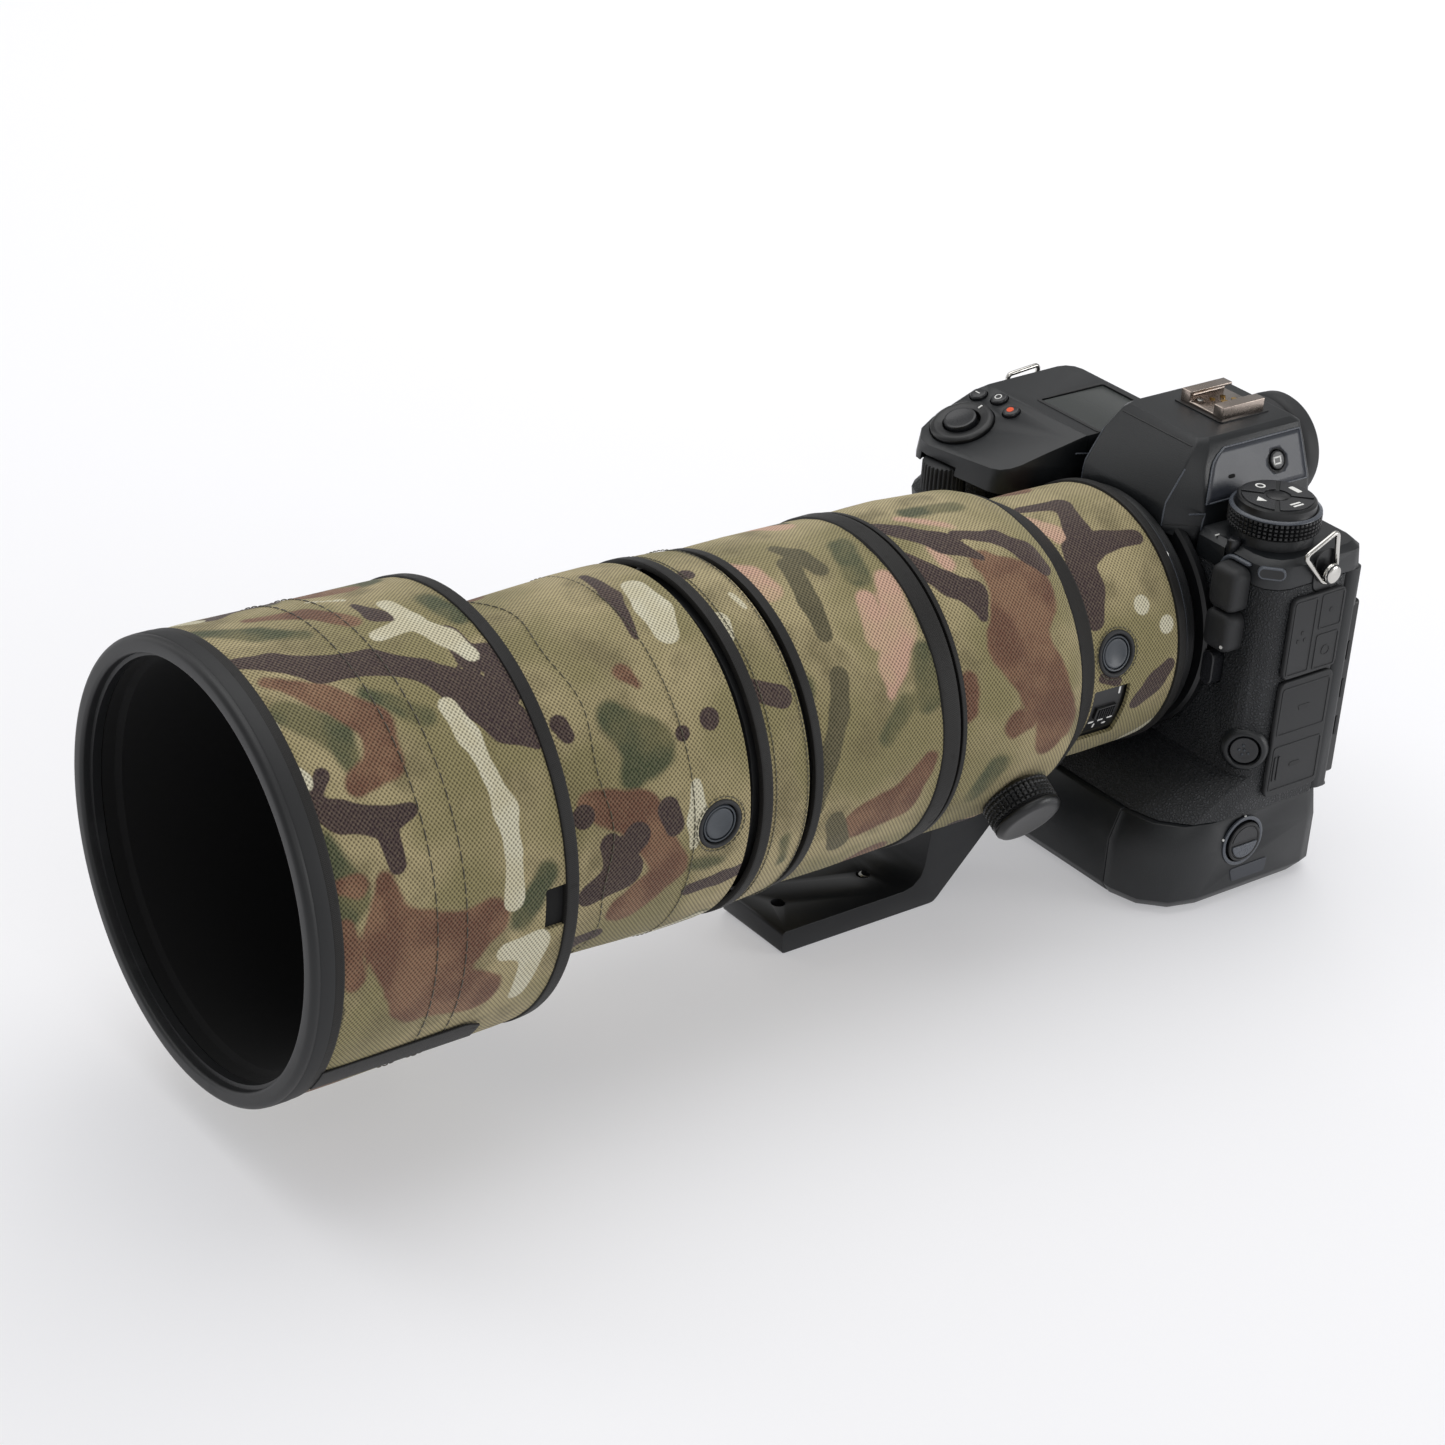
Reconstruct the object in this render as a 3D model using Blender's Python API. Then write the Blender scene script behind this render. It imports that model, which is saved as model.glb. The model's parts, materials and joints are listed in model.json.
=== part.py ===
"""Mirrorless camera with a vertical grip, carrying a telephoto lens in a fabric coat.

World frame in metres: the origin is on the camera's base, below the optical axis
and in the plane of the lens mount.  +Z is up and -Y is where the lens points.
The hand grip is on the -X side and the connector doors are on the +X side.
"""

from math import atan2, cos, pi, radians, sin, tan

import bmesh
import bpy
from mathutils import Matrix, Vector

MM = 0.001
GAP = 0.3 * MM  # clearance between two pieces that touch

# Camera body
AXIS_HEIGHT = 83.0 * MM
BODY_LEFT = -83.0 * MM
BODY_FRONT = 3.5 * MM
BODY_SPLIT = 38.0 * MM
BODY_REAR = 47.0 * MM
BASE_TOP = 31.0 * MM
SHOULDER = 112.0 * MM
TOP_PLATE = 131.0 * MM
PORT_TOP = 121.0 * MM
WALL = 4.0 * MM
BASE_FRONT = -30.0 * MM
GRIP_FRONT = -31.0 * MM
GRIP_INNER = -47.0 * MM
CORNER = 9.0 * MM
BATTERY_COVER_FROM = 40.0 * MM
HUMP_HALF = 28.0 * MM
HUMP_TOP_HALF = 17.5 * MM
HUMP_FACE_HALF = 19.5 * MM
HUMP_TOP = 146.2 * MM
HUMP_REAR = 56.0 * MM
SHOE_HALF = 9.8 * MM
SHOE_DEPTH = 19.0 * MM
SHOE_HEIGHT = 4.3 * MM
EYECUP_RADIUS = 18.5 * MM
EYECUP_DEPTH = 13.0 * MM
EYECUP_HEIGHT = 126.0 * MM
DIAL_RADIUS = 15.0 * MM
DIAL_HEIGHT = 9.0 * MM
DIAL_AT = (HUMP_HALF + DIAL_RADIUS + 1.0 * MM, 21.5 * MM)  # beside the hump
BODY_RIGHT = HUMP_HALF + 2 * DIAL_RADIUS + 5.5 * MM  # leaves a margin beside the dial
FRONT_DIAL_RADIUS = 7.8 * MM
FRONT_DIAL_HALF = 5.5 * MM
DOOR_THICK = 1.8 * MM
MONITOR_LEFT = -27.0 * MM
MONITOR_RIGHT = BODY_RIGHT - 4.5 * MM
MONITOR_BOTTOM = 32.5 * MM
MONITOR_TOP = 97.0 * MM
MONITOR_THICK = 5.5 * MM
BRACKET_THICK = 1.6 * MM
MOUNT_BORE = 27.5 * MM
MOUNT_RADIUS = 35.0 * MM
MOUNT_THICK = 3.0 * MM
SENSOR_AT = 18.0 * MM
SENSOR_HALF_WIDTH = 24.0 * MM
SENSOR_HALF_HEIGHT = 20.0 * MM
BATTERY_LENGTH = 62.0 * MM
BATTERY_DEPTH = 50.0 * MM
BATTERY_THICK = 22.0 * MM

# Lens: radii of the barrel and stations along the optical axis, behind to ahead
MID_RADIUS = 44.0 * MM
REAR_RADIUS = MID_RADIUS - 2.2 * MM
RING_RADIUS = 50.2 * MM
FRONT_RADIUS = 53.3 * MM
REAR_START = -3.3 * MM
REAR_COAT_START = -10.0 * MM
STEP_AT = -61.5 * MM
COLLAR_FRONT = -112.0 * MM
FOCUS_FRONT = -170.0 * MM
CONTROL_FRONT = -190.5 * MM
HOOD_START = -262.5 * MM
BARREL_FRONT = -278.0 * MM
HOOD_FRONT = -342.0 * MM
HOOD_RADIUS_REAR = 62.6 * MM
HOOD_RADIUS_FRONT = 65.6 * MM
HOOD_WALL = 3.2 * MM
RIM_LENGTH = 6.0 * MM
RIM_RADIUS = 68.0 * MM
COAT = 1.7 * MM  # fabric thickness
COLLAR_WALL = 3.2 * MM
FOOT_BOTTOM = 0.0 * MM
FOOT_THICK = 8.0 * MM
FOOT_HALF = 15.5 * MM
FOOT_FRONT = -145.0 * MM
FOOT_REAR = -58.0 * MM
KNOB_RADIUS = 11.0 * MM
KNOB_LENGTH = 11.0 * MM
KNOB_ANGLE = -32.0
KNOB_AT = -80.0 * MM
FN_RADIUS = 6.0 * MM
FRONT_FN_AT = -205.0 * MM
REAR_FN_AT = -40.0 * MM
REAR_FN_ANGLE = 13.0
SWITCH_ANGLE = -15.0
SWITCH_TRAVEL = 3.0 * MM

ROUND = 36  # sides of a large turned piece
SMALL = 20  # sides of a button

OPTICAL = Matrix.Translation((0, 0, AXIS_HEIGHT)) @ Matrix.Rotation(-pi / 2, 4, "X")


def clear_scene():
    """Remove whatever the scene holds."""
    for item in list(bpy.data.objects):
        bpy.data.objects.remove(item, do_unlink=True)


def finish_of(name, colour, roughness, metallic=0.0):
    """Return a Principled material."""
    material = bpy.data.materials.new(name)
    material.use_nodes = True
    shader = material.node_tree.nodes["Principled BSDF"]
    shader.inputs["Base Color"].default_value = (*colour, 1.0)
    shader.inputs["Roughness"].default_value = roughness
    shader.inputs["Metallic"].default_value = metallic
    return material


class Palette:
    """The few looks that the pieces have."""

    black = ((0.02, 0.021, 0.023), 0.5, 0.0)
    grip = ((0.014, 0.014, 0.016), 0.8, 0.0)
    rubber = ((0.02, 0.02, 0.02), 0.75, 0.0)
    steel = ((0.62, 0.6, 0.57), 0.3, 1.0)
    metal = ((0.03, 0.03, 0.032), 0.35, 0.6)
    glass = ((0.02, 0.03, 0.04), 0.05, 0.0)
    cloth = ((0.2, 0.18, 0.1), 0.9, 0.0)
    display = ((0.12, 0.13, 0.13), 0.25, 0.0)


def node(name, bm, look, frame=None, smooth=40.0):
    """Turn a bmesh into a named object placed by a frame matrix."""
    bmesh.ops.recalc_face_normals(bm, faces=bm.faces)
    mesh = bpy.data.meshes.new(name)
    bm.to_mesh(mesh)
    bm.free()
    mesh.shade_smooth()
    mesh.set_sharp_from_angle(angle=radians(smooth))
    item = bpy.data.objects.new(name, mesh)
    bpy.context.scene.collection.objects.link(item)
    mesh.materials.append(finish_of(name + "_finish", *look))
    item.matrix_world = frame or Matrix()
    return item


def cut(item, cutter, operation="DIFFERENCE"):
    """Cut an object with another one, which is then only a guide."""
    cutter.display_type = "WIRE"
    cutter.hide_render = True
    modifier = item.modifiers.new(operation.title(), "BOOLEAN")
    modifier.operation = operation
    modifier.solver = "EXACT"
    modifier.object = cutter
    return item


def bevel(item, width, segments=1, angle=35.0):
    """Round the edges of an object."""
    modifier = item.modifiers.new("Bevel", "BEVEL")
    modifier.width = width
    modifier.segments = segments
    modifier.limit_method = "ANGLE"
    modifier.angle_limit = radians(angle)
    return item


def turned(name, profile, look, frame=OPTICAL, sides=ROUND):
    """Spin a closed (radius, height) profile about the frame's local Z axis."""
    bm = bmesh.new()
    loop = [bm.verts.new((radius, 0.0, height)) for radius, height in profile]
    pairs = [(loop[i - 1], loop[i]) for i in range(len(loop))]
    edges = [bm.edges.new(pair) for pair in pairs if pair[0].co.x > 0 or pair[1].co.x > 0]
    bmesh.ops.spin(
        bm, geom=loop + edges, cent=(0, 0, 0), axis=(0, 0, 1),
        angle=2 * pi, steps=sides, use_merge=True,
    )
    bmesh.ops.remove_doubles(bm, verts=bm.verts, dist=1e-6)
    bmesh.ops.dissolve_degenerate(bm, edges=bm.edges, dist=1e-7)
    return node(name, bm, look, frame)


def disc(name, radius, low, high, look, frame, sides=SMALL, edge=0.0):
    """A plain cylinder between two heights, its top edge chamfered by edge."""
    profile = [(0, low), (radius, low), (radius, high - edge), (radius - edge, high), (0, high)]
    if not edge:
        profile.pop(3)
    return turned(name, profile, look, frame, sides)


def tube(name, inner, outer, low, high, look, frame=OPTICAL, sides=ROUND):
    """A plain ring between two heights."""
    profile = [(inner, low), (outer, low), (outer, high), (inner, high)]
    return turned(name, profile, look, frame, sides)


def rounded(corners, steps=3):
    """Return the points of a polygon whose (x, y, radius) corners are rounded."""
    points = []
    for i, (x, y, radius) in enumerate(corners):
        here = Vector((x, y))
        before = (Vector(corners[i - 1][:2]) - here).normalized()
        after = (Vector(corners[(i + 1) % len(corners)][:2]) - here).normalized()
        half = before.angle(after) / 2
        reach = radius / tan(half)
        centre = here + (before + after).normalized() * (radius / sin(half))
        start = here + before * reach - centre
        turn = start.angle_signed(here + after * reach - centre)
        for step in range(steps + 1):
            spun = start.copy()
            spun.rotate(Matrix.Rotation(-turn * step / steps, 2))
            points.append(centre + spun)
    return points


def lofted(name, levels, look, frame=None):
    """Join closed outlines of equal length, given as (height, points)."""
    bm = bmesh.new()
    rings = [[bm.verts.new((x, y, z)) for x, y in outline] for z, outline in levels]
    for low, high in zip(rings, rings[1:]):
        for i in range(len(low)):
            bm.faces.new((low[i - 1], low[i], high[i], high[i - 1]))
    bm.faces.new(rings[0])
    bm.faces.new(rings[-1])
    bmesh.ops.triangulate(bm, faces=bm.faces)
    return node(name, bm, look, frame)


def plate(name, corners, low, high, look, frame=None, steps=3):
    """Extrude a rounded outline between two heights."""
    outline = rounded(corners, steps)
    return lofted(name, [(low, outline), (high, outline)], look, frame)


def block(name, low, high, look, frame=None):
    """A box between two corners."""
    corners = [(low[0], low[1]), (high[0], low[1]), (high[0], high[1]), (low[0], high[1])]
    return lofted(name, [(low[2], corners), (high[2], corners)], look, frame)


def rectangle(left, front, right, rear, radius):
    """Corners of a rectangle with one radius."""
    return [(left, front, radius), (right, front, radius), (right, rear, radius), (left, rear, radius)]


def frame_at(point, direction, roll=0.0):
    """A frame whose local Z points along a direction."""
    turn = Vector(direction).normalized().to_track_quat("Z", "Y").to_matrix().to_4x4()
    return Matrix.Translation(point) @ turn @ Matrix.Rotation(roll, 4, "Z")


def radial(angle, y, radius=0.0):
    """A frame on the lens at an angle above +X, its local Z pointing outward."""
    outward = Vector((cos(radians(angle)), 0.0, sin(radians(angle))))
    return frame_at(Vector((0, y, AXIS_HEIGHT)) + outward * radius, outward)


# ---------------------------------------------------------------- camera body


def base_outline(grow, front):
    """Outline of the lower body, which is the vertical grip."""
    return rounded([
        (BODY_LEFT - grow, front - grow, 14 * MM),
        (BODY_RIGHT + grow, front - grow, 20 * MM),
        (BODY_RIGHT + grow, BODY_REAR + grow, 9 * MM),
        (BODY_LEFT - grow, BODY_REAR + grow, 9 * MM),
    ])


def base_solid(name):
    """The whole lower body before it is split into casing and battery cover."""
    levels = [
        (0.0, base_outline(-3 * MM, BASE_FRONT)),
        (4 * MM, base_outline(0.0, BASE_FRONT)),
        (BASE_TOP - 10 * MM, base_outline(0.0, BASE_FRONT)),
        (BASE_TOP, base_outline(-1 * MM, BASE_FRONT + 3 * MM)),
    ]
    return lofted(name, levels, Palette.black)


def battery_box(margin):
    """Lowest and highest corner of the battery, grown by a margin."""
    middle = (BASE_FRONT + BODY_REAR) / 2
    low_z = (BASE_TOP - BATTERY_THICK) / 2
    low = (BATTERY_COVER_FROM - BATTERY_LENGTH, middle - BATTERY_DEPTH / 2, low_z)
    high = (BATTERY_COVER_FROM, middle + BATTERY_DEPTH / 2, low_z + BATTERY_THICK)
    return [v - margin for v in low], [v + margin for v in high]


def make_base():
    """Lower casing with the battery tunnel, the battery, its cover and its latch."""
    casing = base_solid("base_casing")
    far = 200 * MM
    split = BATTERY_COVER_FROM - GAP / 2
    cut(casing, block("cover_cut", (split, -far, -far), (far, far, far), Palette.black))
    low, high = battery_box(1 * MM)
    cut(casing, block("battery_tunnel", low, (far, high[1], high[2]), Palette.black))
    cover = base_solid("battery_cover")
    keep = block("cover_keep", (split + GAP, -far, -far), (far, far, far), Palette.black)
    cut(cover, keep, "INTERSECT")
    frame = latch_frame()
    cut(cover, disc("latch_pocket", 7.6 * MM, -3 * MM, 3 * MM, Palette.black, frame))
    low, high = battery_box(0.0)
    high[0] -= GAP / 2
    bevel(block("battery", low, high, Palette.rubber), 1.5 * MM)
    latch = disc("battery_latch", 7.2 * MM, -2.6 * MM, 0.3 * MM, Palette.black, frame, edge=0.5 * MM)
    low = (-1.5 * MM, -6 * MM, -1 * MM)
    high = (1.5 * MM, 6 * MM, 1.6 * MM)
    cut(latch, block("latch_fin", low, high, Palette.black, frame), "UNION")


def latch_frame():
    """Frame of the battery latch on the port side of the cover."""
    return frame_at((BODY_RIGHT, 8 * MM, 21 * MM), (1, 0, 0))


def front_outline(front, right_radius):
    """Outline of the front casing between base and shoulder."""
    return rounded([
        (BODY_LEFT + 2 * MM, front, 4 * MM),
        (BODY_RIGHT, front, right_radius),
        (BODY_RIGHT, BODY_SPLIT, 1 * MM),
        (BODY_LEFT, BODY_SPLIT, 1 * MM),
    ])


def make_front_casing():
    """Front casing: slopes back above the base to the face that holds the mount."""
    below_lens = AXIS_HEIGHT - REAR_RADIUS - COAT - 4 * GAP
    levels = [
        (BASE_TOP + GAP, front_outline(BASE_FRONT + 6 * MM, 22 * MM)),
        (below_lens, front_outline(REAR_COAT_START - 1.5 * MM, 18 * MM)),
        (below_lens + 6 * MM, front_outline(BODY_FRONT, CORNER)),
        (SHOULDER - GAP, front_outline(BODY_FRONT, CORNER)),
    ]
    casing = lofted("front_casing", levels, Palette.grip)
    low = (BODY_LEFT + WALL + 2 * MM, BODY_FRONT + WALL, BASE_TOP + WALL)
    high = (BODY_RIGHT - WALL, 80 * MM, SHOULDER - WALL)
    cut(casing, block("front_cavity", low, high, Palette.black))
    bore = tube_cutter("mount_bore", MOUNT_BORE + 1 * MM, -60 * MM, BODY_FRONT + WALL + 2 * MM)
    cut(casing, bore)
    low = (BODY_LEFT - 9 * MM, -90 * MM, BASE_TOP - 5 * MM)
    high = (GRIP_INNER + 1 * MM, BODY_FRONT + 1.2 * MM, SHOULDER + 5 * MM)
    cut(casing, block("grip_pocket", low, high, Palette.black))


def tube_cutter(name, radius, low, high):
    """A cylinder on the optical axis, used to cut a bore."""
    return disc(name, radius, low, high, Palette.black, OPTICAL, ROUND)


def make_hand_grip():
    """Rubber-covered hand grip in front of the casing, deeper towards the top."""
    def outline(front, inner):
        rear = BODY_FRONT + 1.2 * MM - GAP
        return rounded([
            (BODY_LEFT + 1 * MM, front + 4 * MM, 10 * MM),
            (inner - 4 * MM, front, 11 * MM),
            (inner, rear, 1 * MM),
            (BODY_LEFT + 2 * MM, rear, 1 * MM),
        ])
    levels = [
        (BASE_TOP + GAP, outline(BASE_FRONT + 4 * MM, GRIP_INNER)),
        (46 * MM, outline(GRIP_FRONT + 8 * MM, GRIP_INNER)),
        (78 * MM, outline(GRIP_FRONT + 4 * MM, GRIP_INNER - 3 * MM)),
        (SHOULDER - 12 * MM, outline(GRIP_FRONT, GRIP_INNER - 3 * MM)),
        (SHOULDER - 9 * MM, outline(GRIP_FRONT + 5 * MM, GRIP_INNER - 3 * MM)),
        (SHOULDER - GAP, outline(GRIP_FRONT + 5 * MM, GRIP_INNER - 3 * MM)),
    ]
    grip = lofted("hand_grip", levels, Palette.grip)
    cut(grip, front_dial_pocket("dial_pocket"))


def front_dial_frame():
    """Frame of the command dial in the grip's upper front; it turns about an upright axis."""
    return Matrix.Translation((-65 * MM, GRIP_FRONT + 7.5 * MM, SHOULDER - 3.5 * MM))


def front_dial_pocket(name):
    """A cutter for the recess that the front dial turns in."""
    half = FRONT_DIAL_HALF + 1 * MM
    return disc(name, FRONT_DIAL_RADIUS + 1.2 * MM, -half, half, Palette.black, front_dial_frame())


def make_front_dial():
    """Knurled front command dial."""
    toothed(
        "front_dial", FRONT_DIAL_RADIUS, -FRONT_DIAL_HALF, FRONT_DIAL_HALF, 0.5 * MM, 18,
        Palette.rubber, front_dial_frame(),
    )


def toothed(name, radius, low, high, depth, teeth, look, frame):
    """A dial with upright teeth around it."""
    points = []
    for i in range(2 * teeth):
        reach = radius - (depth if i % 2 else 0.0)
        points.append((reach * cos(pi * i / teeth), reach * sin(pi * i / teeth)))
    inner = [(0.88 * x, 0.88 * y) for x, y in points]
    edge = 0.12 * (high - low)
    levels = [(low, inner), (low + edge, points), (high - edge, points), (high, inner)]
    return lofted(name, levels, look, frame)


def make_rear_casing():
    """Rear casing with the bay for the tilting screen."""
    corners = rectangle(BODY_LEFT + 0.5 * MM, BODY_SPLIT + GAP, BODY_RIGHT - 0.5 * MM, BODY_REAR, 3 * MM)
    casing = plate("rear_casing", corners, BASE_TOP + GAP, SHOULDER - GAP, Palette.black)
    low = (BODY_LEFT + WALL + 3 * MM, 0.0, BASE_TOP + WALL + 1 * MM)
    high = (BODY_RIGHT - WALL - 1 * MM, BODY_REAR - WALL - 1 * MM, SHOULDER - WALL - 1 * MM)
    cut(casing, block("rear_cavity", low, high, Palette.black))
    low, high = bracket_box(1 * MM)
    high[1] = 90 * MM
    high[0] = 90 * MM
    cut(casing, block("screen_bay", low, high, Palette.black))


def bracket_box(margin):
    """Corners of the bracket that carries the screen."""
    rear = BODY_REAR - GAP
    low = (MONITOR_LEFT, rear - BRACKET_THICK, MONITOR_BOTTOM)
    high = (MONITOR_RIGHT - 2 * MM, rear, MONITOR_TOP)
    grown = [v - margin for v in low]
    grown[1] = low[1] - GAP
    return grown, [v + margin for v in high]


def make_monitor():
    """Tilting screen on its bracket."""
    low, high = bracket_box(0.0)
    block("monitor_bracket", low, high, Palette.metal)
    low = (MONITOR_LEFT, BODY_REAR + GAP, MONITOR_BOTTOM)
    high = (MONITOR_RIGHT, BODY_REAR + GAP + MONITOR_THICK, MONITOR_TOP)
    bevel(block("monitor", low, high, Palette.black), 1 * MM)


def make_grip_top():
    """Top cover over the hand grip: level behind, sloping down to the nose."""
    inner = -HUMP_HALF - GAP
    def side(front, rear, shrink):
        return rounded([
            (BODY_LEFT + shrink + 2 * MM, front, 10 * MM),
            (inner - 8 * MM, front + 6 * MM, 9 * MM),
            (inner, BODY_FRONT + 2 * MM, 4 * MM),
            (inner, rear - shrink, 1 * MM),
            (BODY_LEFT + shrink, rear - shrink, 6 * MM),
        ])
    nose = GRIP_FRONT + 1 * MM
    levels = [
        (SHOULDER, side(nose, BODY_REAR, 0.0)),
        (TOP_PLATE - 11 * MM, side(nose + 1 * MM, BODY_REAR, 0.5 * MM)),
        (TOP_PLATE - 2 * MM, side(nose + 3 * MM, BODY_REAR, 1.5 * MM)),
        (TOP_PLATE, side(nose + 5 * MM, BODY_REAR, 3.5 * MM)),
    ]
    cover = lofted("grip_top_cover", levels, Palette.black)
    bm = bmesh.new()
    bmesh.ops.create_cube(bm, size=1.0)
    bmesh.ops.scale(bm, vec=(200 * MM, 60 * MM, 40 * MM), verts=bm.verts)
    bmesh.ops.translate(bm, vec=(0, 0, 20 * MM), verts=bm.verts)
    cut(cover, node("nose_cut", bm, Palette.black, nose_frame()))
    hump = hump_solid("hump_clearance", GAP)
    cut(cover, hump)
    cut(cover, front_dial_pocket("nose_dial_pocket"))
    low, high = display_box(GAP)
    cut(cover, block("display_pocket", low, (high[0], high[1], 200 * MM), Palette.black))
    for name, frame, radius in top_buttons():
        cut(cover, disc(name + "_pocket", radius + GAP, -3.6 * MM, 9 * MM, Palette.black, frame))
    cut(cover, disc("switch_pocket", 11.4 * MM, -2.2 * MM, 9 * MM, Palette.black, shutter_frame(), 28))
    cut(cover, strap_lug("grip_lug", grip_lug_frame()), "UNION")


def nose_frame():
    """Sloping plane of the nose: 21 degrees down towards the front."""
    slope = Matrix.Rotation(radians(21), 4, "X")
    return Matrix.Translation((-60 * MM, -21 * MM, TOP_PLATE - 10 * MM)) @ slope


def on_nose(x, along):
    """Frame standing on the sloping nose at a place along the slope."""
    return nose_frame() @ Matrix.Translation((x + 60 * MM, along, 0))


def shutter_frame():
    """Frame of the shutter button and its power switch."""
    return on_nose(-69 * MM, 7.5 * MM)


def top_buttons():
    """Name, frame and radius of each small button behind the shutter button."""
    return [
        ("record_button", on_nose(-59.5 * MM, 21.5 * MM), 3.0 * MM),
        ("iso_button", on_nose(-68.5 * MM, 24 * MM), 3.0 * MM),
        ("exposure_button", on_nose(-76.5 * MM, 21.5 * MM), 3.0 * MM),
    ]


def make_top_controls():
    """Buttons, power switch and display of the top cover."""
    for name, frame, radius in top_buttons():
        disc(name, radius, -2.7 * MM, 1.2 * MM, Palette.black, frame, 16, 0.6 * MM)
    disc("shutter_button", 6 * MM, -1.5 * MM, 2.6 * MM, Palette.black, shutter_frame(), edge=1 * MM)
    ring = [
        (6.5 * MM, -1.8 * MM), (11 * MM, -1.8 * MM), (11 * MM, 1 * MM),
        (9.5 * MM, 1.8 * MM), (6.5 * MM, 1.4 * MM),
    ]
    turned("power_switch", ring, Palette.black, shutter_frame(), 28)
    low, high = display_box(0.0)
    block("top_display", low, high, Palette.display)


def display_box(margin):
    """Corners of the top display."""
    low = (-59 * MM, 12 * MM, TOP_PLATE - 2.4 * MM)
    high = (-HUMP_HALF - 1.5 * MM, 40 * MM, TOP_PLATE - 0.2 * MM)
    return [v - margin for v in low], [v + margin for v in high]


def make_port_top():
    """Shoulder on the port side, with the dial's pedestal and the strap lug."""
    inner = HUMP_HALF + GAP
    def side(shrink):
        return rounded([
            (inner, BODY_FRONT + shrink, 1 * MM),
            (BODY_RIGHT - shrink, BODY_FRONT + shrink, CORNER),
            (BODY_RIGHT - shrink, BODY_REAR - shrink, 6 * MM),
            (inner, BODY_REAR - shrink, 1 * MM),
        ])
    levels = [
        (SHOULDER, side(0.0)),
        (PORT_TOP - 2 * MM, side(0.5 * MM)),
        (PORT_TOP, side(2.5 * MM)),
    ]
    cover = lofted("port_top_cover", levels, Palette.black)
    radius = DIAL_RADIUS - 1.5 * MM
    pedestal = disc("pedestal", radius, -3 * MM, 3.5 * MM, Palette.black, dial_frame(), ROUND)
    cut(cover, pedestal, "UNION")
    cut(cover, hump_solid("port_hump_clearance", GAP))
    cut(cover, strap_lug("port_lug", port_lug_frame()), "UNION")
    cut(cover, disc("lock_pocket", 2.6 * MM, -5 * MM, 9 * MM, Palette.black, lock_frame(), 16))


def dial_frame():
    """Frame of the release mode dial."""
    return Matrix.Translation((DIAL_AT[0], DIAL_AT[1], PORT_TOP))


def lock_frame():
    """Frame of the pin that unlocks the release mode dial."""
    return Matrix.Translation((DIAL_AT[0] - 1 * MM, DIAL_AT[1] - DIAL_RADIUS - 1 * MM, PORT_TOP))


def make_release_dial():
    """Knurled dial with a raised button field, and its lock pin."""
    low = 3.8 * MM
    high = low + DIAL_HEIGHT
    frame = dial_frame()
    dial = toothed("release_dial", DIAL_RADIUS, low, high, 0.5 * MM, 24, Palette.black, frame)
    radius = DIAL_RADIUS - 3 * MM
    top = disc("dial_top", radius, 8 * MM, high + 1.2 * MM, Palette.black, frame, 24, 0.8 * MM)
    cut(dial, top, "UNION")
    frame = lock_frame()
    disc("dial_lock_button", 2.2 * MM, -3.5 * MM, 2 * MM, Palette.black, frame, 16, 0.6 * MM)


def strap_lug(name, frame):
    """A headed post that holds a strap ring."""
    stem = 2 * MM
    profile = [
        (0, -4 * MM), (stem, -4 * MM), (stem, 3 * MM), (stem + 1.4 * MM, 3 * MM),
        (stem + 1.4 * MM, 4.4 * MM), (0, 4.4 * MM),
    ]
    return turned(name, profile, Palette.steel, frame, 12)


def port_lug_frame():
    """Frame of the strap lug on the port side."""
    return frame_at((BODY_RIGHT, 27 * MM, SHOULDER + 3.4 * MM), (1, 0, 0))


def grip_lug_frame():
    """Frame of the strap lug on the grip side."""
    return frame_at((BODY_LEFT, 27 * MM, SHOULDER + 6 * MM), (-1, 0, 0))


def make_strap_ring(name, frame, lean):
    """Triangular wire ring around a strap lug, leaning by an angle in the lug's frame."""
    wire = 0.9 * MM
    wide = 7.5 * MM
    foot = -12 * MM
    corners = [(0.0, 12.2 * MM, 3.6 * MM), (-wide, foot, 1.6 * MM), (wide, foot, 1.6 * MM)]
    spun = []
    for x, y, radius in corners:
        spot = Vector((x, y))
        spot.rotate(Matrix.Rotation(lean, 2))
        spun.append((spot.x, spot.y, radius))
    path = rounded(spun, 4)
    bm = bmesh.new()
    sides = 6
    rings = []
    for i, point in enumerate(path):
        along = (path[(i + 1) % len(path)] - path[i - 1]).normalized()
        out = Vector((along.y, -along.x))
        ring = []
        for k in range(sides):
            turn = 2 * pi * k / sides
            spot = point + out * wire * cos(turn)
            ring.append(bm.verts.new((spot.x, spot.y, 1.5 * MM + wire * sin(turn))))
        rings.append(ring)
    for i, ring in enumerate(rings):
        before = rings[i - 1]
        for k in range(sides):
            bm.faces.new((before[k - 1], before[k], ring[k], ring[k - 1]))
    return node(name, bm, Palette.steel, frame)


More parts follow.
